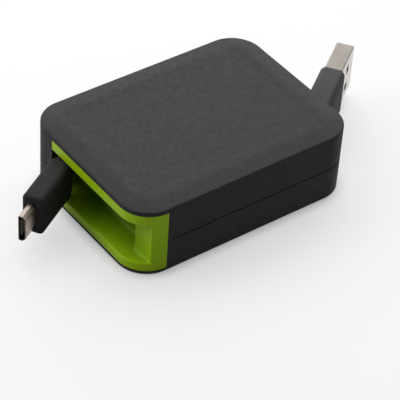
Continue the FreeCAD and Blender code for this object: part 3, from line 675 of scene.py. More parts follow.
def case_columns():
    """Columns round the case, with a double stop at each end of the two pockets, and which are open.

    A pocket is open from the second stop on one side to the first stop on the next, and the case repeats
    itself after half a turn.
    """
    corners = SQUARE * np.array([HALF_LENGTH, HALF_WIDTH])
    mouth = HALF_WIDTH - MOUTH_START - JOINT_GAP
    tail = HALF_LENGTH - LINER_SIDE + JOINT_GAP
    stops = {0: (mouth, mouth), 1: (tail, tail), 2: (mouth, mouth), 3: (tail, tail)}
    columns = rounded_columns(corners, CORNER_RADIUS, CORNER_STEPS, stops)
    side = CORNER_STEPS + len(stops[0])
    place = np.arange(len(corners) * side) % (2 * side)
    return columns, (place > CORNER_STEPS) & (place < 2 * side - 1)


case_line, is_open = case_columns()
print("columns round the case:", len(is_open), "and in the openings:", int(is_open.sum()))

# %% [markdown]
# The top isn't flat. Its border rises to a low soft ridge, taller at the two ends, and the panel inside
# it lies a little deeper. Sculpting could raise it, but a running sum of slopes is smooth everywhere,
# and each slope is one number that can be compared with the light and shade in the photograph.

# %% The soft ridge
top_high = np.array(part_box("top_cover")[1]) / MM
SOLID_RISE = 0.9
EDGE_HEIGHT = top_high[2] - SOLID_RISE
RIDGE_INSET = 4.4
RIDGE_RISE = 0.54
RIDGE_SOFT = 0.55
END_RISE = 0.2
PANEL_INSET = 6.4
PANEL_DROP = 0.09
CAP_INSET = 7.2
SLOPE_STEPS = 721


def crease(inset, rise, drop):
    """Rise of the top above its edge.

    Its slope is one value on the border, another beyond the ridge and none on the panel, with smooth
    steps between them, and the rise is the running sum of the slope.
    """
    fine = np.linspace(0, CAP_INSET, SLOPE_STEPS)
    border = rise / RIDGE_INSET
    inner = drop / (PANEL_INSET - RIDGE_INSET)
    past_ridge = 1 / (1 + np.exp(-(fine - RIDGE_INSET) / RIDGE_SOFT))
    past_panel = 1 / (1 + np.exp(-(fine - PANEL_INSET) / RIDGE_SOFT))
    slope = border - (border + inner) * past_ridge + inner * past_panel
    height = np.concatenate([[0], np.cumsum((slope[1:] + slope[:-1]) / 2 * np.diff(fine))])
    return np.interp(inset, fine, height)


ridge_and_panel = crease([RIDGE_INSET, CAP_INSET], RIDGE_RISE, PANEL_DROP)
print("ridge and panel stand", np.round(ridge_and_panel, 2), "mm above the edge")

# %% Top shell
COVER_LIP = 0.96
SIDE_WALL = 1.6
INNER_SKIN = 0.9
SEAM_HEIGHT = 8.35
SEAM_GAP = 0.2
SEAM_BEVEL = 0.12
TONGUE_INSET = 0.9
TONGUE_TOP = 9.35
TOP_ROUND = 0.42
TOP_ROWS = 45
EDGE_STEPS = 8


def arc(radius, steps, start=0.0, end=math.pi / 2):
    """How far a quarter round has come in from its two sides: radius x (1 - cos), radius x (1 - sin)."""
    angle = np.linspace(start, end, steps)
    return radius * (1 - np.cos(angle)), radius * (1 - np.sin(angle))


def top_cover_surface():
    """One closed profile: the top from the middle out, the round edge, the wall, the seam and the inside.

    The ridge is raised at the two ends by the squared X share of the column's normal.
    """
    slope = RIDGE_RISE / RIDGE_INSET
    lean = math.hypot(1, slope)
    edge_in, edge_down = arc(TOP_ROUND, EDGE_STEPS, 0.0, math.atan2(1, slope))
    centre = EDGE_HEIGHT + slope * TOP_ROUND - TOP_ROUND * lean
    insets = np.linspace(CAP_INSET, edge_in[-1], TOP_ROWS, endpoint=False)
    seam = SEAM_HEIGHT + SEAM_GAP
    roof = EDGE_HEIGHT - INNER_SKIN
    rebate = TONGUE_INSET - JOINT_GAP
    inset = [*insets, *edge_in[::-1], 0, SEAM_BEVEL, rebate, rebate, SIDE_WALL, SIDE_WALL, CAP_INSET]
    top = EDGE_HEIGHT + crease(insets, RIDGE_RISE, PANEL_DROP)
    level = [*top, *(centre + TOP_ROUND - edge_down[::-1]), seam + SEAM_BEVEL, seam, seam,
             TONGUE_TOP + SEAM_GAP, TONGUE_TOP + SEAM_GAP, roof, roof]
    points = carry(case_line, CORNER_RADIUS, inset, level)
    points[:TOP_ROWS, :, 2] += crease(insets, END_RISE, END_RISE)[:, None] * case_line[1][:, 0] ** 2
    lip = EDGE_HEIGHT - COVER_LIP
    points[..., 2] = np.where(is_open, np.maximum(points[..., 2], lip), points[..., 2])
    return closed_grid(points)


top_shell = top_cover_surface()
print("top shell has", len(top_shell[0]), "points and reaches", round(top_shell[0][:, 2].max(), 2), "mm")

# %% Bottom shell
BOTTOM_ROUND = 0.35


def bottom_cover_surface():
    """One closed profile: the base from the middle out, the round edge, the wall, the seam, the inside.

    In the openings the wall's rows are pressed down to the lip below the pocket.
    """
    edge_in, edge_up = arc(BOTTOM_ROUND, EDGE_STEPS)
    inset = [CAP_INSET, *edge_up, 0, SEAM_BEVEL, TONGUE_INSET, TONGUE_INSET, SIDE_WALL, SIDE_WALL,
             CAP_INSET]
    level = [0, *edge_in, SEAM_HEIGHT - SEAM_BEVEL, SEAM_HEIGHT, SEAM_HEIGHT, TONGUE_TOP, TONGUE_TOP,
             INNER_SKIN, INNER_SKIN]
    points = carry(case_line, CORNER_RADIUS, inset, level)
    points[..., 2] = np.where(is_open, np.minimum(points[..., 2], COVER_LIP), points[..., 2])
    return closed_grid(points)


bottom_shell = bottom_cover_surface()
print("bottom shell has", len(bottom_shell[0]), "points")

# %% [markdown]
# Inside, each half carries turned details: the post that the reel spins on with the pin that plugs into
# it, and four bosses that pin the halves together. A Screw modifier would turn them too. Here they are
# short profiles swept round vertical axes as arrays, so they can be joined at once to the shell that
# they are moulded with.

# %% Turned solids
TURN_STEPS = 48


def turned(profile, x=0.0, y=0.0, steps=TURN_STEPS):
    """Solid of revolution: each (radius, height) of the profile swept round a vertical axis at x, y."""
    radius, height = np.asarray(profile, float).T
    angle = np.arange(steps) * 2 * math.pi / steps
    points = np.stack([
        x + radius[:, None] * np.cos(angle),
        y + radius[:, None] * np.sin(angle),
        np.broadcast_to(height[:, None], (len(radius), steps)),
    ], axis=-1)
    return points.reshape(-1, 3), quads(len(radius), steps).reshape(-1, 4).tolist()


print("a cone turned in", TURN_STEPS, "steps has", len(turned([(0, 0), (1, 0), (0, 1)])[0]), "points")

# %% Profiles of posts and bosses
BOSS_RADIUS = 2.0
BOSS_HOLE = 1.0
BOSS_PIN = 4.0
BOSS_BEVEL = 0.25
roof_skin = EDGE_HEIGHT - INNER_SKIN / 2
floor_skin = INNER_SKIN / 2


def socket_profile(radius, hole, low, high, depth):
    """A post with a bevelled rim and a blind hole in its top."""
    return [(0, low), (radius, low), (radius, high - BOSS_BEVEL), (radius - BOSS_BEVEL, high),
            (hole, high), (hole, high - depth), (0, high - depth)]


def pin_profile(radius, pin, low, high, tip):
    """A boss that hangs down from high to low, with a bevelled pin below it that ends at tip."""
    return [(0, high), (radius, high), (radius, low), (pin, low), (pin, tip + BOSS_BEVEL),
            (pin - BOSS_BEVEL, tip), (0, tip)]


hanging = pin_profile(BOSS_RADIUS, BOSS_HOLE, SEAM_HEIGHT, roof_skin, SEAM_HEIGHT - BOSS_PIN)
standing = socket_profile(BOSS_RADIUS, BOSS_HOLE + JOINT_GAP, floor_skin, SEAM_HEIGHT,
                          BOSS_PIN + JOINT_GAP)
print("a boss is", 2 * BOSS_RADIUS, "mm wide and its pin", BOSS_PIN, "mm long")

# %% Places of the bosses
BOSS_ROOM = 0.3
BOSS_SIDE_X = 17.8
boss_out = (CORNER_RADIUS - SIDE_WALL - BOSS_RADIUS - BOSS_ROOM) * math.sqrt(0.5)
boss_corner = (-(corner_x + boss_out), corner_y + boss_out)
boss_side = (BOSS_SIDE_X, HALF_WIDTH - SIDE_WALL - BOSS_RADIUS - BOSS_ROOM)
boss_pair = np.array([boss_corner, boss_side])
boss_spots = np.concatenate([boss_pair, -boss_pair])
print("bosses stand at", np.round(boss_spots, 1).tolist())

# %% [markdown]
# The top half also has the lane that the ratchet ball slides in. It is a box with a slot, which a
# Boolean could cut. As a ring of four rows, an outer and an inner rectangle each low and high, it needs
# no cut.

# %% Lane of the ratchet ball
CAGE_HALF = 2.15
CAGE_SLOT = 1.05
CAGE_ENDS = (6.65, 14.15)
CAGE_WALL = 1.1


def cage_surface(low, high):
    """An outer and an inner rectangle, each low and high, joined as a ring of four rows."""
    middle = sum(CAGE_ENDS) / 2
    reach = (CAGE_ENDS[1] - CAGE_ENDS[0]) / 2
    halves = np.array([[CAGE_HALF, reach]] * 2 + [[CAGE_SLOT, reach - CAGE_WALL]] * 2)
    levels = np.array([low, high, high, low])
    signs = np.array([[1, 1], [-1, 1], [-1, -1], [1, -1]])
    flat = signs * halves[:, None, :] + np.array([0, middle])
    rows, columns = flat.shape[:2]
    height = np.broadcast_to(levels[:, None, None], (rows, columns, 1))
    points = np.concatenate([flat, height], axis=-1)
    return points.reshape(-1, 3), quads(rows, columns, wrap_rows=True).reshape(-1, 4).tolist()


print("the ball's lane runs from", CAGE_ENDS[0] + CAGE_WALL, "to", CAGE_ENDS[1] - CAGE_WALL, "mm")

# %% The two halves
POST_RADIUS = 3.0
POST_TOP = 12.6
PIN_RADIUS = 1.2
PIN_LOW = 9.6
STOP_RADIUS = 4.45
STOP_LOW = 13.2
BOSS_STEPS = 32
stop = pin_profile(STOP_RADIUS, PIN_RADIUS, STOP_LOW, roof_skin, PIN_LOW)
post = socket_profile(POST_RADIUS, PIN_RADIUS + JOINT_GAP, floor_skin, POST_TOP, POST_TOP - PIN_LOW)
top_parts = [top_shell, cage_surface(STOP_LOW, roof_skin), turned(stop)]
bottom_parts = [bottom_shell, turned(post)]
for spot in boss_spots:
    top_parts.append(turned(hanging, *spot, steps=BOSS_STEPS))
    bottom_parts.append(turned(standing, *spot, steps=BOSS_STEPS))
for name, parts in (("top_cover", top_parts), ("bottom_cover", bottom_parts)):
    piece = put_piece(f"{name}_skin", parts, "case_black")
    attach(piece, "case")
    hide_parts(name)

# %% [markdown]
# ## The green pockets
#
# Each plug folds into a green liner that wraps round a corner of the case. A block with a Boolean cut
# would give the recess, but not its soft edges. Seen from above, three lines run side by side: the
# outside of the case, the bottom of the recess, and the hidden back. They have the same stations, so a
# surface can be stretched between them.

# %% Lines with round corners
PLAN_ROUND = 1.8
LINE_STEPS = 800


def resample(points, count, rounding):
    """Points spaced evenly along a line of straight runs, its corners rounded by a moving average."""
    run = np.concatenate([[0], np.cumsum(np.linalg.norm(np.diff(points, axis=0), axis=1))])
    fine = np.linspace(0, run[-1], LINE_STEPS + 1)
    line = np.column_stack([np.interp(fine, run, points[:, axis]) for axis in (0, 1)])
    reach = int(rounding / run[-1] * LINE_STEPS) | 1
    padded = np.pad(line, ((reach // 2, reach // 2), (0, 0)), mode="edge")
    window = np.ones(reach) / reach
    smooth = np.column_stack([np.convolve(padded[:, axis], window, mode="valid") for axis in (0, 1)])
    return smooth[np.linspace(0, LINE_STEPS, count).astype(int)]


corner_cut = resample(np.array([[0.0, 0.0], [10.0, 0.0], [10.0, 10.0]]), 3, PLAN_ROUND)[1]
print("a square corner is cut by", round(float(np.linalg.norm(corner_cut - [10, 0])), 2), "mm")

# %% Plan of a pocket
RECESS_BACK = 22.9
LINER_BACK = 21.4
LINER_END = 14.2
ROOT_END = 13.2
PIVOT_Y = 10.0
NOTCH = 25.87
WALL_STATIONS = 4
DOWN_STATIONS = 20
BEND_STATIONS = 24
REST_STATIONS = 8
wall_line = HALF_LENGTH - SIDE_WALL - JOINT_GAP
inner_side = HALF_WIDTH - SIDE_WALL - JOINT_GAP
notch_angle = math.acos((NOTCH - corner_x) / CORNER_RADIUS)


def pocket_plan(tip_end):
    """Outer, recess and back lines of the liner at the micro end, as arrays of plan points.

    The stations start behind the wall, come out at the mouth, run down the end of the case to its corner,
    go round it and end on the long side. Past the notch the recess lies on the outer line.
    """
    down = np.concatenate([[MOUTH_START, PIVOT_Y], np.linspace(PIVOT_Y, -corner_y, DOWN_STATIONS)[1:]])
    bend = np.linspace(0, notch_angle, BEND_STATIONS + 1)[1:]
    rest = np.linspace(notch_angle, math.pi / 2, REST_STATIONS + 1)[1:]
    corner = np.concatenate([bend, rest])
    behind_wall = np.array([LINER_END, ROOT_END, ROOT_END, MOUTH_START])
    outer = np.concatenate([
        np.column_stack([np.full(WALL_STATIONS, -wall_line), behind_wall]),
        np.column_stack([np.full_like(down, -HALF_LENGTH), down]),
        np.column_stack([-corner_x - CORNER_RADIUS * np.cos(corner),
                         -corner_y - CORNER_RADIUS * np.sin(corner)]),
        [[-LINER_SIDE, -HALF_WIDTH]],
    ])
    mouth_end = [-NOTCH, -corner_y - CORNER_RADIUS * math.sin(notch_angle)]
    recess_line = np.array([[-RECESS_BACK, -corner_y], [-RECESS_BACK, tip_end], [-NOTCH, tip_end],
                            mouth_end])
    recess = outer.copy()
    bend_start = WALL_STATIONS + len(down)
    recess[WALL_STATIONS // 2:bend_start, 0] = -RECESS_BACK
    recess[bend_start:bend_start + len(bend)] = resample(recess_line, len(bend) + 1, PLAN_ROUND)[1:]
    back = outer.copy()
    back[:, 0] = -LINER_BACK
    back[-1, 0] = -LINER_SIDE
    back[:, 1] = np.maximum(back[:, 1], -inner_side)
    return outer, recess, back


MICRO_TIP_END = -14.6
USB_A_TIP_END = -20.5
print("a pocket's plan has", len(pocket_plan(MICRO_TIP_END)[0]), "stations")

# %% [markdown]
# At each station the section is a C: down the rim, round its soft edge, in along the ceiling, down the
# back of the recess, out along the floor and round the lower edge. Where the recess has run out, its
# depth is nought and the same C lies flat on the wall, so the solid end of the liner needs no rows of
# its own.

# %% Section of a pocket
CABLE_HALF = (0.45, 2.5)
CABLE_ROOM = 0.25
LINER_LOW = COVER_LIP + JOINT_GAP
LINER_HIGH = EDGE_HEIGHT - COVER_LIP - JOINT_GAP
RIM_ROUND = 0.38
RECESS_ROUND = 1.2
ROUND_SHARE = 0.45
ROUND_STEPS = 7
SHADE_POWER = 0.7
SHADE_TIP = 0.75
SHADE_FROM = -8.0
SHADE_TO = 3.0
FULL_DEPTH = HALF_LENGTH - RECESS_BACK
cable_slot = CABLE_HALF[1] + CABLE_ROOM


def pocket_points(mid, mouth, tip_end):
    """The C-shaped section along the plan. Point = outer + depth x (recess - outer) / their distance.

    The painted shade is a power of the depth's share of the full depth, and grows from the plug's tip
    to its root, where the plug's shadow falls.
    """
    outer, recess, back = pocket_plan(tip_end)
    across = recess - outer
    depth = np.linalg.norm(across, axis=1)
    across = across / np.maximum(depth, MERGE)[:, None]
    low, high = mid - mouth / 2, mid + mouth / 2
    slot_low, slot_high = mid - cable_slot, mid + cable_slot
    rim = np.minimum(RIM_ROUND, ROUND_SHARE * depth)
    inner = np.minimum(RECESS_ROUND, ROUND_SHARE * depth)
    shallow, steep = (share[:, None] for share in arc(1.0, ROUND_STEPS))
    flat = np.zeros((1, len(outer)))
    depths = np.concatenate([
        flat, shallow * rim, depth - steep * inner, depth + flat, depth + flat, depth - shallow * inner,
        steep * rim, flat])
    levels = np.concatenate([
        LINER_HIGH + flat, high + steep * rim, high - shallow * inner, slot_high + flat, slot_low + flat,
        low + steep * inner, low - shallow * rim, LINER_LOW + flat])
    front = np.concatenate([outer + depths[..., None] * across, levels[..., None]], axis=-1)
    behind = [np.column_stack([back, np.full(len(back), level)])
              for level in (LINER_LOW, slot_low, slot_high, LINER_HIGH)]
    # Painted shade: darker deeper in the recess, and darkest near the plug's root, where its shadow
    # falls.
    toward_root = np.clip((outer[:, 1] - SHADE_FROM) / (SHADE_TO - SHADE_FROM), 0, 1)
    deep = np.clip(depths / FULL_DEPTH, 0, 1) ** SHADE_POWER * (SHADE_TIP + (1 - SHADE_TIP) * toward_root)
    recess_shade = np.concatenate([deep, np.zeros((len(behind), len(outer)))])
    return np.concatenate([front, np.array(behind)]), recess_shade.ravel()


print("a recess is", round(float(FULL_DEPTH), 2), "mm deep and its slot", 2 * cable_slot, "mm high")

# %% [markdown]
# The cable comes into the pocket through a slot in its back. A slot is a quad left out of the front and
# of the back, with four narrow faces between the two holes, which `bridge` makes. It works on any pair
# of edges.

# %% Faces of a pocket
SLOT_FIRST = 2
SLOT_LAST = 5


def bridge(first, second):
    """Quads between two lines of points with as many points each."""
    first, second = np.asarray(first), np.asarray(second)
    return np.stack([first[:-1], first[1:], second[1:], second[:-1]], axis=-1).tolist()


def pocket_faces(rows, columns):
    """Quads of a grid closed along its rows, a cap at each end, and the cable's slot from front to back.

    The slot's upper row comes after the rim and its two rounds. On the back its two rows are the third
    and the second from the end.
    """
    corners = quads(rows, columns, wrap_rows=True, wrap_columns=False)
    index = np.arange(rows * columns).reshape(rows, columns)
    front_row = 1 + 2 * ROUND_STEPS
    back_row = rows - 3
    kept = np.ones(corners.shape[:2], bool)
    kept[[front_row, back_row], SLOT_FIRST:SLOT_LAST] = False
    faces = corners[kept].tolist() + [index[:, 0].tolist(), index[:, -1].tolist()]
    edge = slice(SLOT_FIRST, SLOT_LAST + 1)
    faces += bridge(index[front_row, edge], index[back_row + 1, edge])
    faces += bridge(index[front_row + 1, edge], index[back_row, edge])
    for column in (SLOT_FIRST, SLOT_LAST):
        faces += bridge(index[front_row:front_row + 2, column], index[[back_row + 1, back_row], column])
    return faces


print("two edges of 3 points are bridged by", len(bridge([0, 1, 2], [3, 4, 5])), "quads")

# %% The two liners
CABLE_MID = 8.55
MOUTH_GAP = 0.25
MICRO_GRIP = (2.6, 5.15)
USB_A_GRIP = (3.0, 6.3)
LINERS = (("micro", MICRO_GRIP, MICRO_TIP_END, 1), ("usb_a", USB_A_GRIP, USB_A_TIP_END, -1))
for kind, grip, tip_end, facing in LINERS:
    # The mark made here is painted shade in the green recess.
    points, recess_shade = pocket_points(CABLE_MID, 2 * (grip[1] + MOUTH_GAP), tip_end)
    points[..., :2] *= facing
    liner = points.reshape(-1, 3), pocket_faces(*points.shape[:2])
    piece = put_piece(f"{kind}_pocket_liner", [liner], "pocket_green", {"recess_shade": recess_shade})
    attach(piece, "case")
    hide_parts(f"{kind}_pocket")

# %% [markdown]
# ## The plugs
#
# Each plug is drawn along +X from its pivot and then set at its heading. An object could be turned in
# the scene, but its place has to be in its mesh, so the points are turned instead. The frame's joints
# give the heading: the hinge says where the pivot is, and the slide along the cable says which way the
# plug points.

# %% Plug frames


def plug_frame(kind):
    """Pivot in millimetres and the plug's along, side and up directions."""
    pivot = np.array(joints[f"{kind}_swing"]["pos_m"]) / MM
    along = np.array(joints[f"{kind}_pull"]["axis"], float)
    up = np.array([0.0, 0.0, 1.0])
    return pivot, np.array([along, np.cross(up, along), up])


def at_plug(kind, part):
    """Local (side, up, along) points, as the row tools make them, set at the plug's heading."""
    points, faces = part
    pivot, axes = plug_frame(kind)
    return pivot + points[:, [2, 0, 1]] @ axes, faces


print("pivots:", [np.round(plug_frame(kind)[0], 2).tolist() for kind in ("micro", "usb_a")])

# %% [markdown]
# The grips are moulded over the cable: a slim root that swells into a straight body with round edges,
# then a soft nose with the socket that holds the metal shell. A box with Subdivision would look like
# them, but not fit the shell. So rounded rectangles of changing size are laid along the plug, and the
# last rows turn in across the nose and back down into the socket.

# %% Rounded sections
PLUGS = {
    "micro": {"grip": MICRO_GRIP, "reach": 17.9, "shell": (0.9, 3.425), "exposed": 5.0, "wall": 0.25},
    "usb_a": {"grip": USB_A_GRIP, "reach": 19.3, "shell": (2.25, 6.0), "exposed": 10.8, "wall": 0.35},
}


def rounded_rows(half_a, half_b, radius, level, steps):
    """Rounded rectangles of changing size: corner centre at half - radius, plus radius x (cos, sin)."""
    half_a, half_b, radius, level = np.broadcast_arrays(half_a, half_b, radius, level)
    angle = (np.arange(4)[:, None] * math.pi / 2 + np.linspace(0, math.pi / 2, steps)).ravel()
    side_a = np.repeat([1, -1, -1, 1], steps)
    side_b = np.repeat([1, 1, -1, -1], steps)
    a = side_a * (half_a - radius)[:, None] + radius[:, None] * np.cos(angle)
    b = side_b * (half_b - radius)[:, None] + radius[:, None] * np.sin(angle)
    return np.stack([a, b, np.broadcast_to(level[:, None], a.shape)], axis=-1)


for kind, plug in PLUGS.items():
    print(kind, "plug reaches", round(plug["reach"] + plug["exposed"], 2), "mm from its pivot")

# %% Grips
NECK_LENGTH = 2.2
TAPER_LENGTH = 1.8
ROOT_HALF = (2.2, 4.8)
ROOT_ROUND = 1.3
ROOT_EDGE = 0.3
ROOT_STEPS = 5
SWELL_STEPS = 13
GRIP_ROUND = 1.3
GRIP_STEPS = 9
NOSE_ROUND = 0.8
NOSE_STEPS = 9
SOCKET_ROUND = 0.3
SHELL_EMBED = 3.0


def grip_surface(grip, reach, shell):
    """Sections along the plug: a smooth swell from root to body, a quarter round nose, then the socket.

    The swell follows 3 s^2 - 2 s^3, which starts and ends level.
    """
    root_in, root_back = arc(ROOT_EDGE, ROOT_STEPS)
    nose_in, nose_back = arc(NOSE_ROUND, NOSE_STEPS)
    swell = np.linspace(0, 1, SWELL_STEPS)
    ease = swell * swell * (3 - 2 * swell)
    taper = NECK_LENGTH + ROOT_EDGE + (TAPER_LENGTH - ROOT_EDGE) * swell[1:]
    socket = np.array(shell) + JOINT_GAP
    halves = []
    for root, body, hole in zip(ROOT_HALF, grip, socket):
        rows = [root - root_back, root + (body - root) * ease[1:], body - nose_in, [hole, hole]]
        halves.append(np.concatenate(rows))
    rounds = np.concatenate([ROOT_ROUND - root_back, ROOT_ROUND + (GRIP_ROUND - ROOT_ROUND) * ease[1:],
                             GRIP_ROUND - nose_in, [SOCKET_ROUND, SOCKET_ROUND]])
    station = np.concatenate([NECK_LENGTH + root_in, taper, reach - nose_back,
                              [reach, reach - SHELL_EMBED]])
    return closed_grid(rounded_rows(*halves, rounds, station, GRIP_STEPS))


for kind, plug in PLUGS.items():
    part = at_plug(kind, grip_surface(plug["grip"], plug["reach"], plug["shell"]))
    piece = put_piece(f"{kind}_grip", [part], f"grip_{kind}")
    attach(piece, f"{kind}_plug")
    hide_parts(f"{kind}_overmould")

# %% [markdown]
# The shells are folded from thin plated sheet. Solidify could give a tube its wall, but not the rolled
# lip at its mouth. Here one profile runs along the outside from the back to the tip, over the lip and
# back along the inside, one wall further in. A window is a quad left out on both skins, bridged as the
# pocket's slot is.

# %% Folded shell
LIP_ROUND = 0.1
LIP_STEPS = 4
FOLD_STEPS = 7
LIP_ROW = 3


def shell_surface(plug, corners, radius, ends, stops, windows):
    """Outer rows to the tip, a rolled lip, and inner rows back, with a window at each (side, stop).

    The painted shade of the narrow sides is the upward or downward share of a point's normal, 1 on the
    narrow sides and 0 on the wide ones. The painted shade of the mouth is 1 past the start of the lip and
    on the inside. A window lies between the second and the third row, and on the inside between the third
    and the second row from the end.
    """
    wall, reach = plug["wall"], plug["reach"]
    columns = rounded_columns(np.array(corners, float), radius, FOLD_STEPS, stops)
    tip = reach + plug["exposed"]
    back = reach - SHELL_EMBED + JOINT_GAP
    lip_in, lip_back = arc(LIP_ROUND, LIP_STEPS)
    inset = [0, 0, 0, *lip_in, *(wall - lip_in[::-1]), wall, wall, wall]
    level = [back, *ends, *(tip - lip_back), *(tip - lip_back[::-1]), ends[1], ends[0], back + wall]
    points = carry(columns, radius, inset, level)
    rows, count = points.shape[:2]
    grid = quads(rows, count)
    index = np.arange(rows * count).reshape(rows, count)
    kept = np.ones(grid.shape[:2], bool)
    faces = [index[0].tolist(), index[-1].tolist()]
    before = np.cumsum([0] + [FOLD_STEPS + len(stops.get(side, ())) for side in range(len(corners))])
    outside, inside = [1, 2], [rows - 2, rows - 3]
    for side, stop in windows:
        column = before[side] + FOLD_STEPS + stop
        pair = [column, column + 1]
        kept[[outside[0], inside[1]], column] = False
        for outer_row, inner_row in zip(outside, inside):
            faces += bridge(index[outer_row, pair], index[inner_row, pair])
        for edge in pair:
            faces += bridge(index[outside, edge], index[inside, edge])
    # Painted shade: the narrow top and bottom sides, and the inside of the mouth, are darkened.
    narrow_side_shade = np.broadcast_to(np.abs(columns[1][:, 1]), (rows, count))
    mouth = np.repeat(np.arange(rows) > LIP_ROW, count).astype(float)
    return (points.reshape(-1, 3), grid[kept].tolist() + faces), {"narrow_side_shade": narrow_side_shade.ravel(), "mouth": mouth}


print("a shell's lip is rolled over", LIP_ROUND, "mm")

# %% [markdown]
# The micro shell has bevelled corners on one side and two slots for its latches on the other. The USB-A
# shell is a plain box with two square windows on each wide side. Both are the same function with other
# corners and stops.

# %% The two shells
MICRO_FOLD = 0.27
MICRO_BEVEL = 0.8
LATCH_INSET = 0.7
LATCH_HALF = 0.4
LATCH_ENDS = (1.75, 3.05)
USB_A_FOLD = 0.6
WINDOW_SIDES = (1.5, 3.7)
WINDOW_ENDS = (6.3, 4.1)


def micro_shell():
    """Six corners, and a slot each side of the middle on the last side."""
    plug = PLUGS["micro"]
    thick, high = plug["shell"]
    corners = [(-thick, -high), (thick - MICRO_BEVEL, -high), (thick, MICRO_BEVEL - high),
               (thick, high - MICRO_BEVEL), (thick - MICRO_BEVEL, high), (-thick, high)]
    middle = high - MICRO_BEVEL - LATCH_INSET
    slots = [high - middle - LATCH_HALF, high - middle + LATCH_HALF,
             high + middle - LATCH_HALF, high + middle + LATCH_HALF]
    ends = (plug["reach"] + LATCH_ENDS[0], plug["reach"] + LATCH_ENDS[1])
    return shell_surface(plug, corners, MICRO_FOLD, ends, {5: slots}, [(5, 0), (5, 2)])


def usb_a_shell():
    """Four corners, and two windows on each of the two wide sides."""
    plug = PLUGS["usb_a"]
    thick, high = plug["shell"]
    corners = [(thick, -high), (thick, high), (-thick, high), (-thick, -high)]
    near, far = WINDOW_SIDES
    slots = [high - far, high - near, high + near, high + far]
    tip = plug["reach"] + plug["exposed"]
    ends = (tip - WINDOW_ENDS[0], tip - WINDOW_ENDS[1])
    return shell_surface(plug, corners, USB_A_FOLD, ends, {0: slots, 2: slots},
                         [(0, 0), (0, 2), (2, 0), (2, 2)])


for kind, (shell, marks) in (("micro", micro_shell()), ("usb_a", usb_a_shell())):
    sheet = at_plug(kind, shell)
    piece = put_piece(f"{kind}_shell_sheet", [sheet], f"shell_{kind}", marks)
    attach(piece, f"{kind}_plug")
    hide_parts(f"{kind}_shell")

# %% [markdown]
# ## The flat cable at the plugs
#
# A short stub of flat cable joins each plug to the reel's lead. When a plug is pulled out, more cable
# follows it. A stub that rode on one body would tear off. Here each stub is one strip of sections laid
# along its plug from the pivot, with its place baked into its points, and it is not attached to a body.

# %% Cable stubs
STUB_START = -CABLE_HALF[0]
STUB_STRAIGHT = 0.1
STUB_END = 2.9
STUB_ROWS = 40
STUB_STEPS = 6
STUB_ROUND = 0.9
NOSE_ANGLE = 0.25
NOSE_ROWS = 7


def stub_surface():
    """Flat section with round edges. Half its thickness is sqrt(r^2 - x^2) up to the pivot, then r."""
    near = STUB_START + CABLE_HALF[0] * (1 - np.cos(np.linspace(NOSE_ANGLE, math.pi / 2, NOSE_ROWS)))
    far = np.linspace(STUB_STRAIGHT, STUB_END, STUB_ROWS)
    station = np.concatenate([near, far])
    thick = np.concatenate([np.sqrt(CABLE_HALF[0] ** 2 - near ** 2), np.full(len(far), CABLE_HALF[0])])
    return closed_grid(rounded_rows(thick, CABLE_HALF[1], thick * STUB_ROUND, station, STUB_STEPS))


for kind in PLUGS:
    piece = put_piece(f"{kind}_cable_stub", [at_plug(kind, stub_surface())], "cable_black")
    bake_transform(piece)
    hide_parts(f"{kind}_neck")

# %% [markdown]
# ## The spring and the wound cable
#
# Both are flat strips stood on edge and wound round the post. A curve with a bevel could draw them, but
# its twist and its ends are hard to hold. Here the plan line is a formula, and every point of it moves
# half the strip's thickness to either side along the line's normal.

# %% A strip on edge
STRIP_BEVEL = 0.06


def strip_surface(line, thickness, levels):
    """A strip on edge: half the thickness to each side along the normal, the tangent turned a quarter."""
    ahead = np.gradient(line, axis=0)
    ahead = ahead / np.linalg.norm(ahead, axis=1, keepdims=True)
    aside = np.column_stack([ahead[:, 1], -ahead[:, 0]])
    low, high = levels
    half = thickness / 2
    flat = half - STRIP_BEVEL
    across = np.array([-half, -flat, flat, half, half, flat, -flat, -half])
    level = np.array([low + STRIP_BEVEL, low, low, low + STRIP_BEVEL, high - STRIP_BEVEL, high, high,
                      high - STRIP_BEVEL])
    plan = line[:, None, :] + aside[:, None, :] * across[:, None]
    height = np.broadcast_to(level[:, None], (*plan.shape[:2], 1))
    return closed_grid(np.concatenate([plan, height], axis=-1))


print("a strip's edges are bevelled by", STRIP_BEVEL, "mm")

# %% [markdown]
# The mainspring pulls the reel back. Its coil stays with the case, where the post holds its inner end.
# Half circles on two centres make a spiral whose turns are evenly spaced, and its radius needs no
# tables.

# %% Coil of the spring
SPRING_THICK = 0.3
SPRING_START = 4.2
SPRING_STEP = 1.6
SPRING_HALF_TURNS = 7
SPRING_LEVELS = (1.7, 4.7)
SPRING_ROUND = 0.8
SPRING_BEND = 0.1
SPRING_FINE = 400
SPRING_ROWS = 260
HOOK_START = POST_RADIUS + JOINT_GAP


def spring_line():
    """Half circles on two centres, after a straight hook out from the post.

    In half turn k the radius is start + k x step, and the centre lies one step on for odd k.
    """
    angle = np.linspace(SPRING_BEND, SPRING_HALF_TURNS * math.pi, SPRING_FINE)
    turn = np.minimum(np.floor(angle / math.pi), SPRING_HALF_TURNS - 1)
    radius = SPRING_START + SPRING_THICK / 2 + turn * SPRING_STEP
    coil = np.column_stack([SPRING_STEP * (turn % 2) + radius * np.cos(angle), radius * np.sin(angle)])
    hook = np.array([[HOOK_START, 0], [SPRING_START + SPRING_THICK / 2, 0]])
    return resample(np.concatenate([hook, coil]), SPRING_ROWS, SPRING_ROUND)


coil_strip = strip_surface(spring_line(), SPRING_THICK, SPRING_LEVELS)
coil = put_piece("spring_coil", [coil_strip], "spring_steel")
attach(coil, "case")
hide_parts("mainspring")

# %% [markdown]
# The spring's outer end is a bridle: a short hooked strip that laps over the coil and goes round with
# the reel. With coil and bridle as one piece, the hook would be left behind when the reel turns.

# %% Bridle of the spring
BRIDLE_RADIUS = 14.3
BRIDLE_SPAN = 1.2
BRIDLE_REACH = 17.1
BRIDLE_FINE = 40
BRIDLE_ROWS = 48


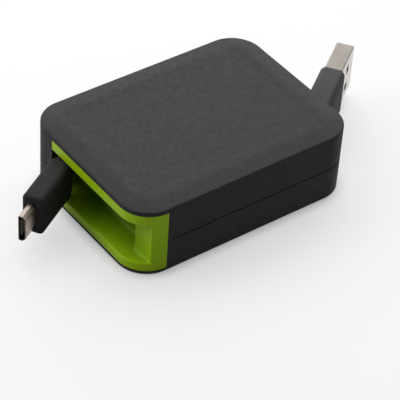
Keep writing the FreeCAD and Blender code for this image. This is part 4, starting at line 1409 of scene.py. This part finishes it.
def bridle_line():
    """An arc of one radius outside the coil, then straight out through the slot in the barrel's wall."""
    angle = np.linspace(math.pi - BRIDLE_SPAN, math.pi, BRIDLE_FINE)
    lap = BRIDLE_RADIUS * np.column_stack([np.cos(angle), np.sin(angle)])
    return resample(np.concatenate([lap, [[-BRIDLE_REACH, 0]]]), BRIDLE_ROWS, SPRING_ROUND)


bridle_strip = strip_surface(bridle_line(), SPRING_THICK, SPRING_LEVELS)
bridle = put_piece("spring_bridle", [bridle_strip], "spring_steel")
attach(bridle, "reel")
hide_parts("mainspring")

# %% [markdown]
# The cable lies on the reel as two runs, one to each plug, wound into each other half a turn apart. A
# ring would fill the same space, but the turns show once the covers are off, so each run is a spiral.

# %% Wound cable
WOUND_LEVELS = (6.05, 11.05)
WOUND_INNER = 9.5
WOUND_OUTER = 16.95
WOUND_TURNS = 4.0
WOUND_LEAVES = math.radians(108.5)
WOUND_ROWS = 420


def wound_line(phase):
    """A spiral whose radius grows evenly with the angle, so that its turns lie side by side."""
    share = np.linspace(0, 1, WOUND_ROWS)
    angle = phase + (share - 1) * WOUND_TURNS * 2 * math.pi
    radius = WOUND_INNER + (WOUND_OUTER - WOUND_INNER) * share
    return np.column_stack([radius * np.cos(angle), radius * np.sin(angle)])


runs = [strip_surface(wound_line(WOUND_LEAVES + half_turn), 2 * CABLE_HALF[0], WOUND_LEVELS)
        for half_turn in (0, math.pi)]
wound = put_piece("wound_runs", runs, "cable_black")
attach(wound, "reel")
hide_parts("wound_cable")

# %% [markdown]
# ## The pieces inside
#
# The reel, its ball, the leads, and the tongues, contacts and latches in the plugs are right as solids,
# so they stay and only get their finish. The solids that a dressed piece stands for get theirs too,
# though they don't show.

# %% Finishes of the solids
INNER = {
    "spool": "reel_grey", "spool_flange": "reel_grey", "ratchet_ball": "ball_steel",
    "micro_lead": "cable_black", "usb_a_lead": "cable_black",
    "micro_tongue": "insulator_black", "usb_a_tongue": "insulator_white",
    "micro_contacts": "contact_gold", "usb_a_contacts": "contact_gold", "micro_latches": "shell_micro",
}
HIDDEN = {
    "top_cover": "case_black", "bottom_cover": "case_black", "micro_pocket": "pocket_green",
    "usb_a_pocket": "pocket_green", "micro_overmould": "grip_micro", "usb_a_overmould": "grip_usb_a",
    "micro_shell": "shell_micro", "usb_a_shell": "shell_usb_a", "micro_neck": "cable_black",
    "usb_a_neck": "cable_black", "mainspring": "spring_steel", "wound_cable": "cable_black",
}
for name, finish in {**INNER, **HIDDEN}.items():
    slots = frame["nodes"][name].data.materials
    slots.clear()
    slots.append(FINISH[finish])
print("solids that show:", len(INNER), "and that are stood for:", len(HIDDEN))

# %% [markdown]
# A solid comes in as loose triangles. Smooth shading alone would do nothing for them, so a Weld
# modifier joins them first and an Edge Split keeps true edges crisp. Both are live, and the solid's own
# points and faces stay as they came.

# %% Smooth inner solids
for name in INNER:
    node = frame["nodes"][name]
    node.data.shade_smooth()
    weld = node.modifiers.new("weld", "WELD")
    weld.merge_threshold = MERGE
    split = node.modifiers.new("crisp_edges", "EDGE_SPLIT")
    split.split_angle = SHARP
print("inner solids smoothed:", len(INNER))
